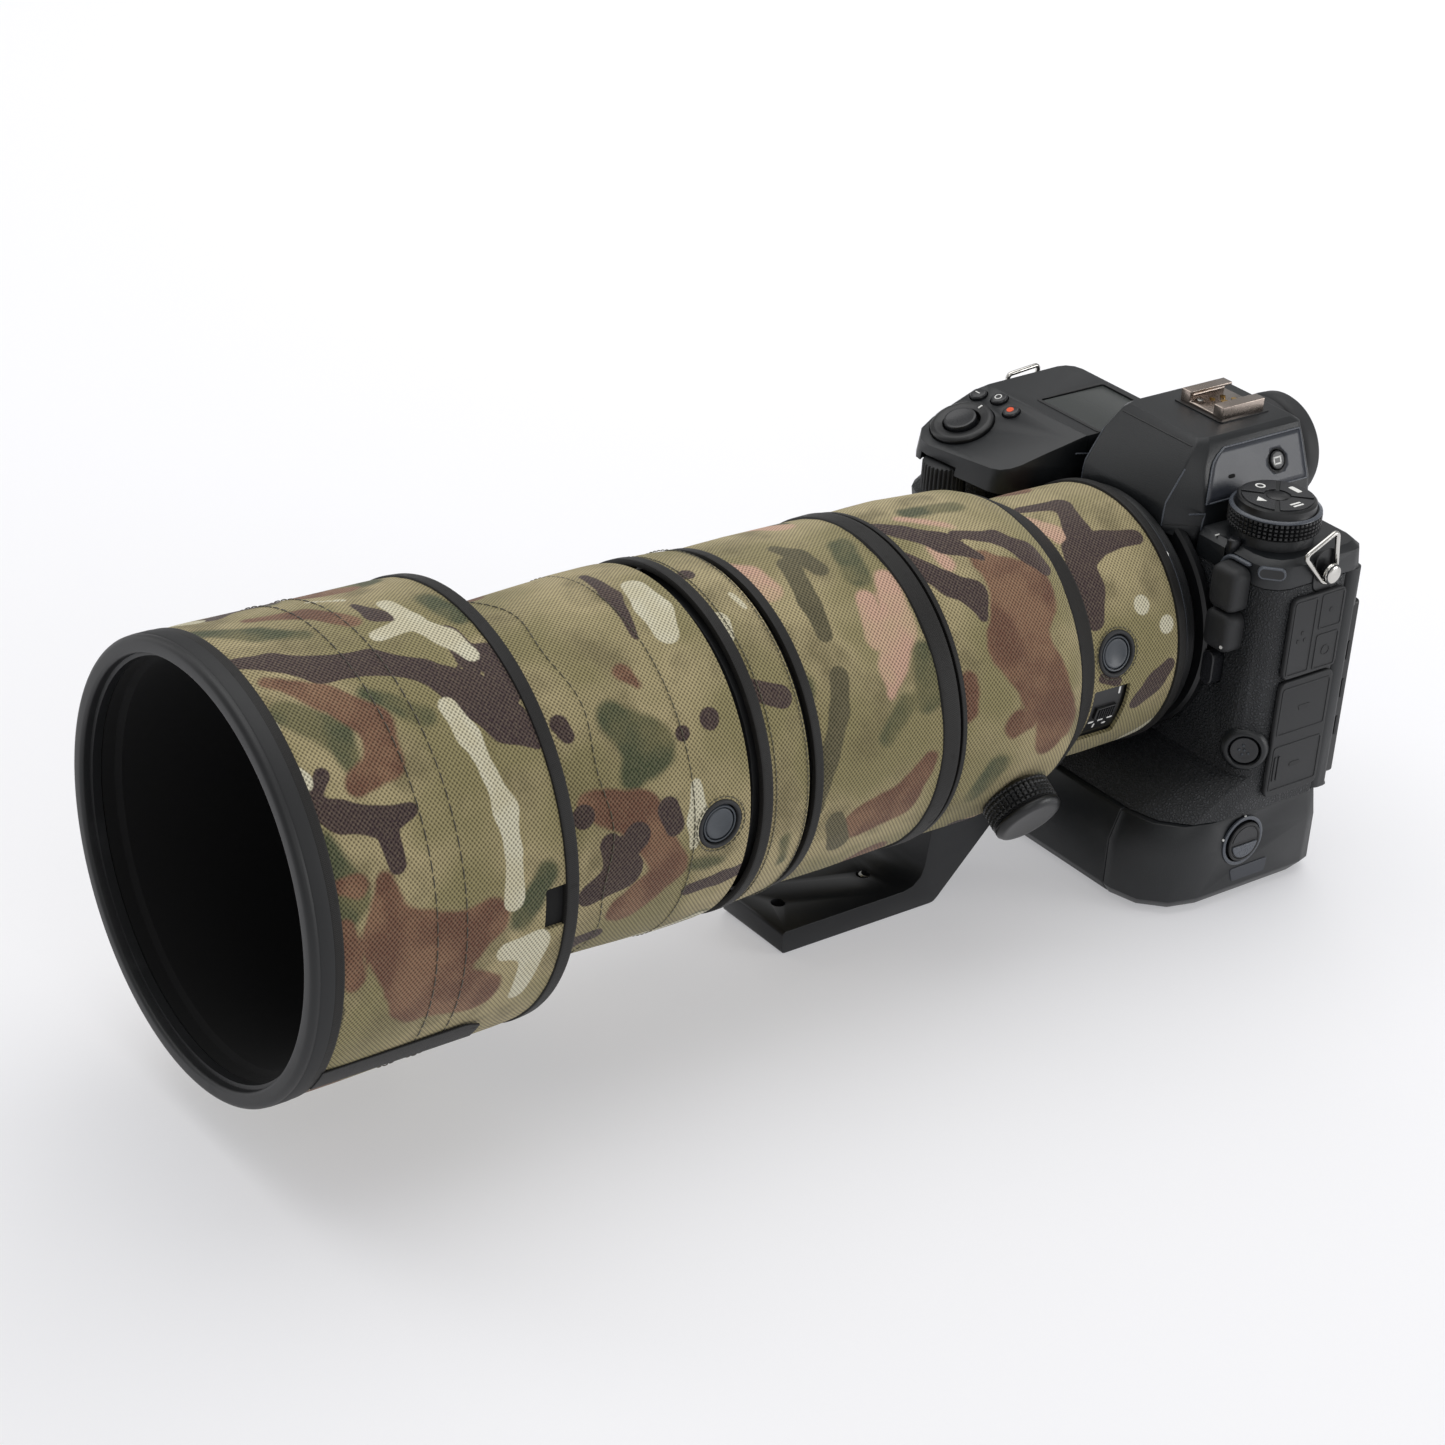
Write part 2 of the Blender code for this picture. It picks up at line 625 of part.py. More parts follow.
def hump_solid(name, grow):
    """Viewfinder hump: a narrow sloping face, chamfered cheeks and a level top."""
    def outline(half, face, front, rear, radius):
        cheek = front + 1.1 * (half - face) + 2 * MM
        return rounded([
            (-half - grow, rear + grow, radius),
            (half + grow, rear + grow, radius),
            (half + grow, cheek, radius),
            (face + grow, front - grow, 1 * MM),
            (-face - grow, front - grow, 1 * MM),
            (-half - grow, cheek, radius),
        ])
    half = HUMP_HALF
    face = HUMP_FACE_HALF
    top = HUMP_TOP_HALF
    front = BODY_FRONT
    rear = HUMP_REAR
    edge = 3 * MM
    levels = [
        (SHOULDER - 7 * MM - grow, outline(half, face, front - 5.5 * MM, BODY_REAR, edge)),
        (SHOULDER + 8 * MM, outline(half, face, front - 7.5 * MM, rear, edge)),
        (HUMP_TOP - 19 * MM, outline(half - 1 * MM, face, front - 7 * MM, rear, edge)),
        (HUMP_TOP - 8 * MM, outline(half - 5.5 * MM, face - 0.5 * MM, front, rear, edge)),
        (HUMP_TOP - 1.5 * MM, outline(top + 2 * MM, top, front + 5.5 * MM, rear - 1 * MM, 2 * MM)),
        (HUMP_TOP + grow, outline(top, top - 1.5 * MM, front + 7 * MM, rear - 3 * MM, 2 * MM)),
    ]
    return lofted(name, levels, Palette.black)


def make_viewfinder():
    """Viewfinder housing, eyepiece, eyecup and hot shoe."""
    housing = hump_solid("viewfinder_housing", 0.0)
    low = (-90 * MM, -9 * MM, 0)
    high = (90 * MM, 90 * MM, SHOULDER)
    cut(housing, block("shell_keep_out", low, high, Palette.black))
    radius = MOUNT_RADIUS + 5 * MM
    cut(housing, tube_cutter("hump_mount_clearance", radius, -60 * MM, BODY_FRONT + 0.2 * MM))
    frame = eyepiece_frame()
    cut(housing, disc("finder_tunnel", 13.5 * MM, -30 * MM, 9 * MM, Palette.black, frame, 24))
    lens = [
        (0, -6 * MM), (13 * MM, -6 * MM), (13 * MM, -3 * MM), (6 * MM, -1.8 * MM), (0, -1.4 * MM),
    ]
    turned("eyepiece_lens", lens, Palette.glass, frame, 24)
    cup = [
        (12 * MM, GAP), (15 * MM, GAP), (16.5 * MM, 5 * MM), (EYECUP_RADIUS, 8 * MM),
        (EYECUP_RADIUS, EYECUP_DEPTH - 1 * MM), (EYECUP_RADIUS - 1.5 * MM, EYECUP_DEPTH),
        (14.5 * MM, EYECUP_DEPTH - 4 * MM), (12 * MM, 4 * MM),
    ]
    turned("eyecup", cup, Palette.rubber, frame, 28)
    make_hot_shoe(housing)
    make_view_button(housing)


def eyepiece_frame():
    """Frame of the eyepiece: local Z points to the rear."""
    return frame_at((0, HUMP_REAR, EYECUP_HEIGHT), (0, 1, 0))


def make_hot_shoe(housing):
    """Accessory shoe on top of the hump."""
    front = HUMP_REAR - SHOE_DEPTH - 9.5 * MM
    base = HUMP_TOP + GAP
    low = (-SHOE_HALF, front, base)
    high = (SHOE_HALF, front + SHOE_DEPTH, base + SHOE_HEIGHT)
    shoe = block("hot_shoe", low, high, Palette.steel)
    slot_half = SHOE_HALF - 1.2 * MM
    lip_half = SHOE_HALF - 4.3 * MM
    slot = block("shoe_slot", (-slot_half, front + 1.5 * MM, base + 1 * MM),
                 (slot_half, 200 * MM, base + SHOE_HEIGHT - 1 * MM), Palette.steel)
    cut(shoe, slot)
    mouth = block("shoe_mouth", (-lip_half, front - 2 * MM, base + 1 * MM),
                  (lip_half, 200 * MM, base + SHOE_HEIGHT + 2 * MM), Palette.steel)
    cut(shoe, mouth)


def make_view_button(housing):
    """Round button on the port side of the hump."""
    frame = view_button_frame()
    cut(housing, disc("view_pocket", 3.6 * MM, -4.4 * MM, 9 * MM, Palette.black, frame, 16))
    disc("view_button", 3.2 * MM, -3.5 * MM, 0.7 * MM, Palette.black, frame, 16, 0.4 * MM)


def view_button_frame():
    """Frame on the sloping port side of the hump."""
    above = Vector((HUMP_HALF - 5.5 * MM, HUMP_TOP - 8 * MM))
    below = Vector((HUMP_HALF - 1 * MM, HUMP_TOP - 19 * MM))
    slope = above - below
    spot = below + slope * 0.72
    outward = Vector((slope.y, -slope.x)).normalized()
    return frame_at((spot.x, 41 * MM, spot.y), (outward.x, 0, outward.y))


def make_mount():
    """Lens mount ring and image sensor unit."""
    tube("mount_ring", MOUNT_BORE, MOUNT_RADIUS, GAP, MOUNT_THICK, Palette.steel)
    low = (-SENSOR_HALF_WIDTH, SENSOR_AT - 3 * MM, AXIS_HEIGHT - SENSOR_HALF_HEIGHT)
    high = (SENSOR_HALF_WIDTH, SENSOR_AT + 3 * MM, AXIS_HEIGHT + SENSOR_HALF_HEIGHT)
    block("sensor_unit", low, high, Palette.glass)


def make_terminal_covers():
    """Two rubber caps over the accessory terminals, one above the other."""
    left = BODY_RIGHT - 21 * MM
    right = left + 12 * MM
    rear = BODY_FRONT - GAP
    spans = (("remote_cover", 87.5 * MM, 101.3 * MM), ("sync_cover", 101.7 * MM, 117 * MM))
    for name, bottom, top in spans:
        frame = frame_at((0, rear, 0), (0, -1, 0))
        place = frame.inverted()
        shape = []
        for x, z in ((left, bottom), (right, bottom), (right, top), (left, top)):
            spot = place @ Vector((x, rear, z))
            shape.append((spot.x, spot.y, 4.5 * MM))
        outline = rounded(shape, 3)
        centre = sum((Vector(p) for p in outline), Vector((0, 0))) / len(outline)
        small = [centre + (p - centre) * 0.86 for p in outline]
        lofted(name, [(0.0, outline), (5.2 * MM, outline), (6.6 * MM, small)], Palette.rubber, frame)


def make_front_buttons():
    """Lens release and focus mode buttons beside the mount."""
    frame = frame_at((BODY_RIGHT - 18.5 * MM, BODY_FRONT, 79 * MM), (0, -1, 0))
    half = Vector((2.6 * MM, 6 * MM))
    corners = rectangle(-half.x, -half.y, half.x, half.y, 2.4 * MM)
    release = plate("lens_release_button", corners, -1 * MM, 4.5 * MM, Palette.black, frame)
    bevel(release, 0.6 * MM)
    half += Vector((GAP, GAP))
    corners = rectangle(-half.x, -half.y, half.x, half.y, 2.6 * MM)
    casing = bpy.data.objects["front_casing"]
    cut(casing, plate("release_pocket", corners, -2.3 * MM, 9 * MM, Palette.black, frame))
    frame = focus_button_frame()
    cut(casing, disc("focus_pocket", 5.6 * MM, -3.6 * MM, 9 * MM, Palette.black, frame))
    disc("focus_mode_button", 5.1 * MM, -2.6 * MM, 0.8 * MM, Palette.black, frame, edge=0.8 * MM)


def focus_button_frame():
    """Frame on the rounded front corner of the port side."""
    middle = Vector((BODY_RIGHT - CORNER, BODY_FRONT + CORNER, 54 * MM))
    outward = Vector((cos(radians(-45)), sin(radians(-45)), 0))
    return frame_at(middle + outward * (CORNER - 0.4 * MM), outward)


def make_doors():
    """Two doors over the connectors, hinged at their rear edges."""
    frame = frame_at((BODY_RIGHT + GAP, 0, 0), (1, 0, 0))
    place = frame.inverted()
    doors = (
        ("audio_door", 13 * MM, 37 * MM, 79.5 * MM, 108.5 * MM),
        ("video_door", 13 * MM, 37 * MM, 36 * MM, 78.5 * MM),
    )
    for name, front, rear, bottom, top in doors:
        shape = []
        for y, z in ((front, bottom), (rear, bottom), (rear, top), (front, top)):
            spot = place @ Vector((BODY_RIGHT + GAP, y, z))
            shape.append((spot.x, spot.y, 2.5 * MM))
        door = plate(name, shape, 0.0, DOOR_THICK, Palette.rubber, frame)
        bevel(door, 0.5 * MM)


def make_rear_controls():
    """Thumb dial and multi selector on the back."""
    casing = bpy.data.objects["rear_casing"]
    cover = bpy.data.objects["grip_top_cover"]
    dial = frame_at((-62 * MM, BODY_REAR - 3 * MM, SHOULDER + 7 * MM), (0, 0, 1))
    cut(cover, disc("thumb_pocket", 9.5 * MM, -3.5 * MM, 3.5 * MM, Palette.black, dial, SMALL))
    toothed("rear_dial", 8.8 * MM, -3 * MM, 3 * MM, 0.5 * MM, 18, Palette.rubber, dial)
    pad = frame_at((-52 * MM, BODY_REAR, 72 * MM), (0, 1, 0))
    cut(casing, disc("pad_pocket", 9.5 * MM, -3.2 * MM, 9 * MM, Palette.black, pad, 24))
    disc("multi_selector", 9 * MM, -2.1 * MM, 1.4 * MM, Palette.black, pad, 24, 0.8 * MM)


# ----------------------------------------------------------------------- lens


def make_barrel():
    """Fixed barrel, mount flange, front barrel and the glass."""
    flange = [
        (23 * MM, 4.5 * MM), (23 * MM, -3 * MM), (33.5 * MM, -3 * MM),
        (33.5 * MM, 0.0), (MOUNT_BORE - 1 * MM, 0.0), (MOUNT_BORE - 1 * MM, 4.5 * MM),
    ]
    turned("lens_mount", flange, Palette.steel)
    bore = MID_RADIUS - 6 * MM
    rear = [
        (25 * MM, REAR_START), (REAR_RADIUS - 3.8 * MM, REAR_START), (REAR_RADIUS, REAR_START - 4 * MM),
        (REAR_RADIUS, STEP_AT), (MID_RADIUS, STEP_AT), (MID_RADIUS, CONTROL_FRONT - 1.5 * MM),
        (bore, CONTROL_FRONT - 1.5 * MM), (bore, STEP_AT), (25 * MM, REAR_START - 12 * MM),
    ]
    barrel = turned("lens_barrel", rear, Palette.metal)
    start = CONTROL_FRONT - 1.5 * MM - GAP
    front = [
        (bore, start), (FRONT_RADIUS - 1 * MM, start), (FRONT_RADIUS, start - 1 * MM),
        (FRONT_RADIUS, BARREL_FRONT), (FRONT_RADIUS - 4 * MM, BARREL_FRONT),
        (FRONT_RADIUS - 4 * MM, start - 8 * MM),
    ]
    nose = turned("front_barrel", front, Palette.metal)
    glass = FRONT_RADIUS - 4 * MM - GAP
    face = BARREL_FRONT + 5 * MM
    element = [(0, face + 9 * MM), (glass, face + 9 * MM), (glass, face + 5 * MM)]
    element += [(glass * (1 - k / 4), face + 5 * MM * (1 - k / 4) ** 2) for k in range(1, 5)]
    turned("front_element", element, Palette.glass)
    cell = bore - GAP
    group = [
        (0, -126 * MM), (cell * 0.6, -125 * MM), (cell, -122 * MM), (cell, -112 * MM), (0, -112 * MM),
    ]
    turned("focus_group", group, Palette.glass)
    last = [(0, -12 * MM), (24.6 * MM, -11 * MM), (24.6 * MM, -6 * MM), (0, -5 * MM)]
    turned("rear_element", last, Palette.glass)
    radius = FN_RADIUS + 0.5 * MM
    cut(barrel, disc("rear_fn_pocket", radius, -3.6 * MM, 9 * MM, Palette.black, rear_fn_frame()))
    low, high = switch_box(GAP)
    high = (high[0], high[1] + SWITCH_TRAVEL, high[2])
    cut(barrel, block("switch_slot", low, high, Palette.black, switch_frame()))
    cut(nose, disc("front_fn_pocket", radius, -3 * MM, 9 * MM, Palette.black, front_fn_frame()))


def rear_fn_frame():
    """Frame of the button near the back of the barrel."""
    return radial(REAR_FN_ANGLE, REAR_FN_AT, REAR_RADIUS)


def front_fn_frame():
    """Frame of the button near the front of the barrel."""
    return radial(2.0, FRONT_FN_AT, FRONT_RADIUS)


def switch_frame():
    """Frame of the focus switch; local X runs along the lens, local Y round it."""
    return radial(SWITCH_ANGLE, REAR_FN_AT - 1 * MM, REAR_RADIUS)


def switch_box(margin):
    """Corners of the sliding switch in its own frame."""
    along = 4.5 * MM + margin
    around = 2.8 * MM + margin
    return (-along, -around, -2.5 * MM - margin), (along, around, 1.2 * MM)


def coat(name, stations, outline_cuts=()):
    """A fabric sleeve from (inner radius, y) stations with the coat's thickness."""
    inner = [(radius, y) for radius, y in stations]
    outer = [(radius + COAT, y) for radius, y in reversed(stations)]
    sleeve = turned(name, inner + outer, Palette.cloth)
    for cutter in outline_cuts:
        cut(sleeve, cutter)
    return sleeve


def make_coats():
    """The fabric sleeves over barrel, collar, rings and hood."""
    rear = REAR_RADIUS + GAP
    radius = FN_RADIUS + 1 * MM
    hole = disc("rear_fn_hole", radius, -3 * MM, 9 * MM, Palette.black, rear_fn_frame())
    low = (-7.5 * MM, -9 * MM, -5 * MM)
    high = (7.5 * MM, 9 * MM, 9 * MM)
    window = block("switch_window", low, high, Palette.black, switch_frame())
    coat("rear_sleeve", [(rear, REAR_COAT_START), (rear, STEP_AT + 3.5 * MM)], (hole, window))
    collar = MID_RADIUS + COLLAR_WALL + 2 * GAP
    lip = rear + COAT + GAP
    knob_hole = disc("knob_hole", 7.5 * MM, -3 * MM, 9 * MM, Palette.black, knob_frame())
    stations = [
        (lip, STEP_AT + 12 * MM), (lip + 1 * MM, STEP_AT + 8 * MM), (collar, STEP_AT + 1.5 * MM),
        (collar + 3.5 * MM, COLLAR_FRONT),
    ]
    coat("collar_sleeve", stations, (knob_hole, foot_clearance()))
    ring = RING_RADIUS + GAP
    stations = [
        (ring + 1 * MM, COLLAR_FRONT - 0.8 * MM), (ring, COLLAR_FRONT - 10 * MM),
        (ring, FOCUS_FRONT + 0.8 * MM),
    ]
    coat("focus_sleeve", stations)
    stations = [(ring, FOCUS_FRONT - 0.8 * MM), (ring + 2.6 * MM, CONTROL_FRONT + 0.8 * MM)]
    coat("control_sleeve", stations)
    front = FRONT_RADIUS + GAP
    hole = disc("front_fn_hole", radius, -3 * MM, 9 * MM, Palette.black, front_fn_frame())
    coat("front_sleeve", [(front, CONTROL_FRONT - 2.6 * MM), (front, HOOD_START + 1 * MM)], (hole,))
    low, high = hood_lock_box(1.5 * MM)
    low = (low[0], low[1], -6 * MM)
    high = (high[0], high[1], 9 * MM)
    window = block("hood_window", low, high, Palette.black, hood_lock_frame())
    stations = [(HOOD_RADIUS_REAR + GAP, HOOD_START), (HOOD_RADIUS_FRONT + GAP, HOOD_FRONT + 1 * MM)]
    coat("hood_sleeve", stations, (window,))


def foot_clearance():
    """Opening in the collar's sleeve where the foot comes out."""
    half = FOOT_HALF + 1 * MM
    low = (-half, FOOT_REAR - 34 * MM, 0.0)
    high = (half, FOOT_REAR - 0.5 * MM, 60 * MM)
    return block("foot_opening", low, high, Palette.black)


def make_rings():
    """Focus ring and control ring, each turning under its own sleeve."""
    spans = (
        ("focus_ring", FOCUS_FRONT, COLLAR_FRONT),
        ("control_ring", CONTROL_FRONT, FOCUS_FRONT),
    )
    for name, ahead, behind in spans:
        low = ahead + 0.8 * MM
        high = behind - 0.8 * MM
        tube(name, MID_RADIUS + GAP, RING_RADIUS, low, high, Palette.rubber)


def make_buttons_on_lens():
    """Function buttons and the focus switch."""
    buttons = (
        ("front_fn_button", -2 * MM, front_fn_frame()),
        ("rear_fn_button", -2.6 * MM, rear_fn_frame()),
    )
    for name, low, frame in buttons:
        disc(name, FN_RADIUS, low, 1.6 * MM, Palette.rubber, frame, edge=0.6 * MM)
    low, high = switch_box(0.0)
    bevel(block("focus_switch", low, high, Palette.black, switch_frame()), 0.4 * MM)


def make_collar():
    """Tripod collar with its foot and clamping knob."""
    inner = MID_RADIUS + GAP
    outer = inner + COLLAR_WALL
    tube("collar_ring", inner, outer, COLLAR_FRONT + 3 * MM, STEP_AT - 1 * MM, Palette.metal)
    top = AXIS_HEIGHT - outer + 1 * MM
    bottom = FOOT_BOTTOM
    plate_top = bottom + FOOT_THICK
    corners = [
        (FOOT_FRONT, bottom, 1.5 * MM),
        (FOOT_REAR - 24 * MM, bottom, 4 * MM),
        (FOOT_REAR, top - 11 * MM, 3 * MM),
        (FOOT_REAR - 1 * MM, top + 4 * MM, 1 * MM),
        (FOOT_REAR - 27 * MM, top + 4 * MM, 1 * MM),
        (FOOT_REAR - 30 * MM, plate_top, 8 * MM),
        (FOOT_FRONT, plate_top, 1.5 * MM),
    ]
    side = Matrix(((0, 0, 1, 0), (1, 0, 0, 0), (0, 1, 0, 0), (0, 0, 0, 1)))
    foot = plate("tripod_foot", corners, -FOOT_HALF, FOOT_HALF, Palette.metal, side)
    bevel(foot, 1 * MM)
    cut(foot, tube_cutter("foot_saddle", outer + GAP, -200 * MM, 0.0))
    for y in (FOOT_FRONT + 10 * MM, FOOT_FRONT + 45 * MM):
        frame = Matrix.Translation((0, y, bottom))
        cut(foot, disc("foot_hole", 2.5 * MM, -9 * MM, 30 * MM, Palette.black, frame, 12))
    skirt = COAT + 3.8 * MM
    top = skirt + KNOB_LENGTH
    profile = [
        (0, GAP), (5 * MM, GAP), (5 * MM, skirt), (KNOB_RADIUS - 1 * MM, skirt),
        (KNOB_RADIUS, skirt + 1 * MM), (KNOB_RADIUS, top - 1 * MM),
        (KNOB_RADIUS - 1 * MM, top), (0, top),
    ]
    turned("clamp_knob", profile, Palette.metal, knob_frame(), 24)


def knob_frame():
    """Frame of the clamping knob on the collar."""
    return radial(KNOB_ANGLE, KNOB_AT, MID_RADIUS + GAP + COLLAR_WALL)


def make_hood():
    """Lens hood, its rubber rim and its lock button."""
    seat = FRONT_RADIUS + 2 * GAP
    mouth = HOOD_RADIUS_FRONT - HOOD_WALL
    shell = [
        (seat, HOOD_START), (HOOD_RADIUS_REAR, HOOD_START), (HOOD_RADIUS_FRONT, HOOD_FRONT),
        (mouth, HOOD_FRONT), (HOOD_RADIUS_REAR - HOOD_WALL, BARREL_FRONT - 3 * MM),
        (seat, BARREL_FRONT + 1 * MM),
    ]
    hood = turned("hood_shell", shell, Palette.black)
    start = HOOD_FRONT - GAP
    front = start - RIM_LENGTH
    rim = [
        (mouth - 1.5 * MM, start), (RIM_RADIUS - 1 * MM, start), (RIM_RADIUS, start - 1.5 * MM),
        (RIM_RADIUS, front + 1.5 * MM), (RIM_RADIUS - 1.5 * MM, front),
        (RIM_RADIUS - 5 * MM, front + 0.5 * MM), (mouth - 1.5 * MM, start - 2 * MM),
    ]
    turned("hood_rim", rim, Palette.rubber)
    low, high = hood_lock_box(GAP)
    low = (low[0], low[1], low[2] - 1.5 * MM)
    high = (high[0], high[1], 20 * MM)
    frame = hood_lock_frame()
    cut(hood, block("hood_lock_pocket", low, high, Palette.black, frame))
    low, high = hood_lock_box(0.0)
    bevel(block("hood_lock_button", low, high, Palette.black, frame), 0.5 * MM)


def hood_lock_frame():
    """Frame of the hood's lock; local X runs along the hood, local Y round it."""
    return radial(0.0, HOOD_START - 7 * MM, HOOD_RADIUS_REAR)


def hood_lock_box(margin):
    """Corners of the hood's lock button in its own frame."""
    low = (-3 * MM, -5.5 * MM, -4 * MM)
    high = (3 * MM, 5.5 * MM, 0.6 * MM)
    return [v - margin for v in low], [v + margin for v in high]


def main():
    """Build every piece."""
    clear_scene()
    make_base()
    make_front_casing()
    make_hand_grip()
    make_front_dial()
    make_rear_casing()
    make_monitor()
    make_grip_top()
    make_top_controls()
    make_port_top()
    make_release_dial()
    make_strap_ring("strap_ring_port", port_lug_frame(), radians(-155))
    make_strap_ring("strap_ring_grip", grip_lug_frame(), radians(175))
    make_viewfinder()
    make_mount()
    make_terminal_covers()
    make_front_buttons()
    make_doors()
    make_rear_controls()
    make_barrel()
    make_coats()
    make_rings()
    make_buttons_on_lens()
    make_collar()
    make_hood()


main()
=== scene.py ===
"""Visual model of a camera body with a long telephoto lens that wears a camouflage fabric coat.

Sizes inside the classes are in millimetres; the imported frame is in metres.
The lens axis runs along Y, the hood points to -Y, and +Z is up.
"""

import json
import logging
import random
from dataclasses import dataclass, field
from enum import Enum
from math import atan2, cos, degrees, exp, hypot, pi, radians, sin, sqrt, tan
from typing import Any, Callable, Iterable, Optional, Sequence, Union

import bmesh
import bpy
import numpy as np
from mathutils import Matrix, Vector, noise


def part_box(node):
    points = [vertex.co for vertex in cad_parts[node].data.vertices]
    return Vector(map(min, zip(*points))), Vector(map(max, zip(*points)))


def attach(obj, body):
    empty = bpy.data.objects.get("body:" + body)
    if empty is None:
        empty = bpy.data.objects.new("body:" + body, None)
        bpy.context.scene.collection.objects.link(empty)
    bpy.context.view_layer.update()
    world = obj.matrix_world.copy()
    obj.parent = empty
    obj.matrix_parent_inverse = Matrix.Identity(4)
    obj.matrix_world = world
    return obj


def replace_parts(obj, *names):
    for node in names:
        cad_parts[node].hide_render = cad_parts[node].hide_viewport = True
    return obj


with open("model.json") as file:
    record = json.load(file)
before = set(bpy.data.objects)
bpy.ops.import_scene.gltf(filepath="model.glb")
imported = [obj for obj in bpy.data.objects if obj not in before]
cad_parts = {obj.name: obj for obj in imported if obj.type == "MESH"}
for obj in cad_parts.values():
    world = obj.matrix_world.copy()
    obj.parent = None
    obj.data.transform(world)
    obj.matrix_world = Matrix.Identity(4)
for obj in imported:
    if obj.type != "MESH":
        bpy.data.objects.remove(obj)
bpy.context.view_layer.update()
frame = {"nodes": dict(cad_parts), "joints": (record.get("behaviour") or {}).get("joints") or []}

LOG = logging.getLogger("camera")
MM = 0.001
TURN = 2 * pi

Point = tuple[float, float]
Colour = tuple[float, float, float, float]
Spot = Sequence[float]
Thing = bpy.types.Object
Outline = Sequence[Point]
Swell = Callable[[float, float, float], float]
Value = Union["Signal", float]


def ink(code: str) -> Colour:
    """Turn a hex colour as printed into linear light.

    Args:
        code: six hex digits.

    Returns:
        Red, green, blue and alpha.
    """
    channels = [int(code[i : i + 2], 16) / 255 for i in (0, 2, 4)]
    linear = [c / 12.92 if c <= 0.04045 else ((c + 0.055) / 1.055) ** 2.4 for c in channels]
    return (linear[0], linear[1], linear[2], 1.0)


def toned(colour: Colour, share: float, lift: float = 0.0) -> Colour:
    """A darker or paler version of a colour: each channel times a share, plus a lift."""
    red, green, blue = (c * share + lift for c in colour[:3])
    return (red, green, blue, 1.0)


# ---- shader graph


class Signal:
    """A socket of a shader graph, so that shader maths reads as arithmetic."""

    def __init__(self, graph: "Graph", socket: bpy.types.NodeSocket) -> None:
        """Keep the graph and its socket."""
        self.graph = graph
        self.socket = socket

    def _maths(self, operation: str, *values: "Value") -> "Signal":
        """Add one Math node.

        Args:
            operation: the node's operation.
            values: its inputs, in order.

        Returns:
            The node's result.
        """
        return self.graph.node("ShaderNodeMath", {"operation": operation}, dict(enumerate(values)))

    def __add__(self, other: "Value") -> "Signal":
        """Sum."""
        return self._maths("ADD", self, other)

    def __radd__(self, other: float) -> "Signal":
        """Sum with the number first."""
        return self._maths("ADD", other, self)

    def __sub__(self, other: "Value") -> "Signal":
        """Difference."""
        return self._maths("SUBTRACT", self, other)

    def __rsub__(self, other: float) -> "Signal":
        """Difference with the number first."""
        return self._maths("SUBTRACT", other, self)

    def __mul__(self, other: "Value") -> "Signal":
        """Product."""
        return self._maths("MULTIPLY", self, other)

    def __rmul__(self, other: float) -> "Signal":
        """Product with the number first."""
        return self._maths("MULTIPLY", other, self)

    def sine(self) -> "Signal":
        """Sine of the value in radians."""
        return self._maths("SINE", self)

    def step(self, low: float, high: float) -> "Signal":
        """Smooth step between two values.

        Args:
            low: value that gives 0.
            high: value that gives 1; it may be the smaller one.

        Returns:
            A mask from 0 to 1.
        """
        turned = low > high
        ends = {1: min(low, high), 2: max(low, high), 3: 1.0 if turned else 0.0, 4: 0.0 if turned else 1.0}
        settings = {"interpolation_type": "SMOOTHSTEP", "clamp": True}
        return self.graph.node("ShaderNodeMapRange", settings, {0: self, **ends})


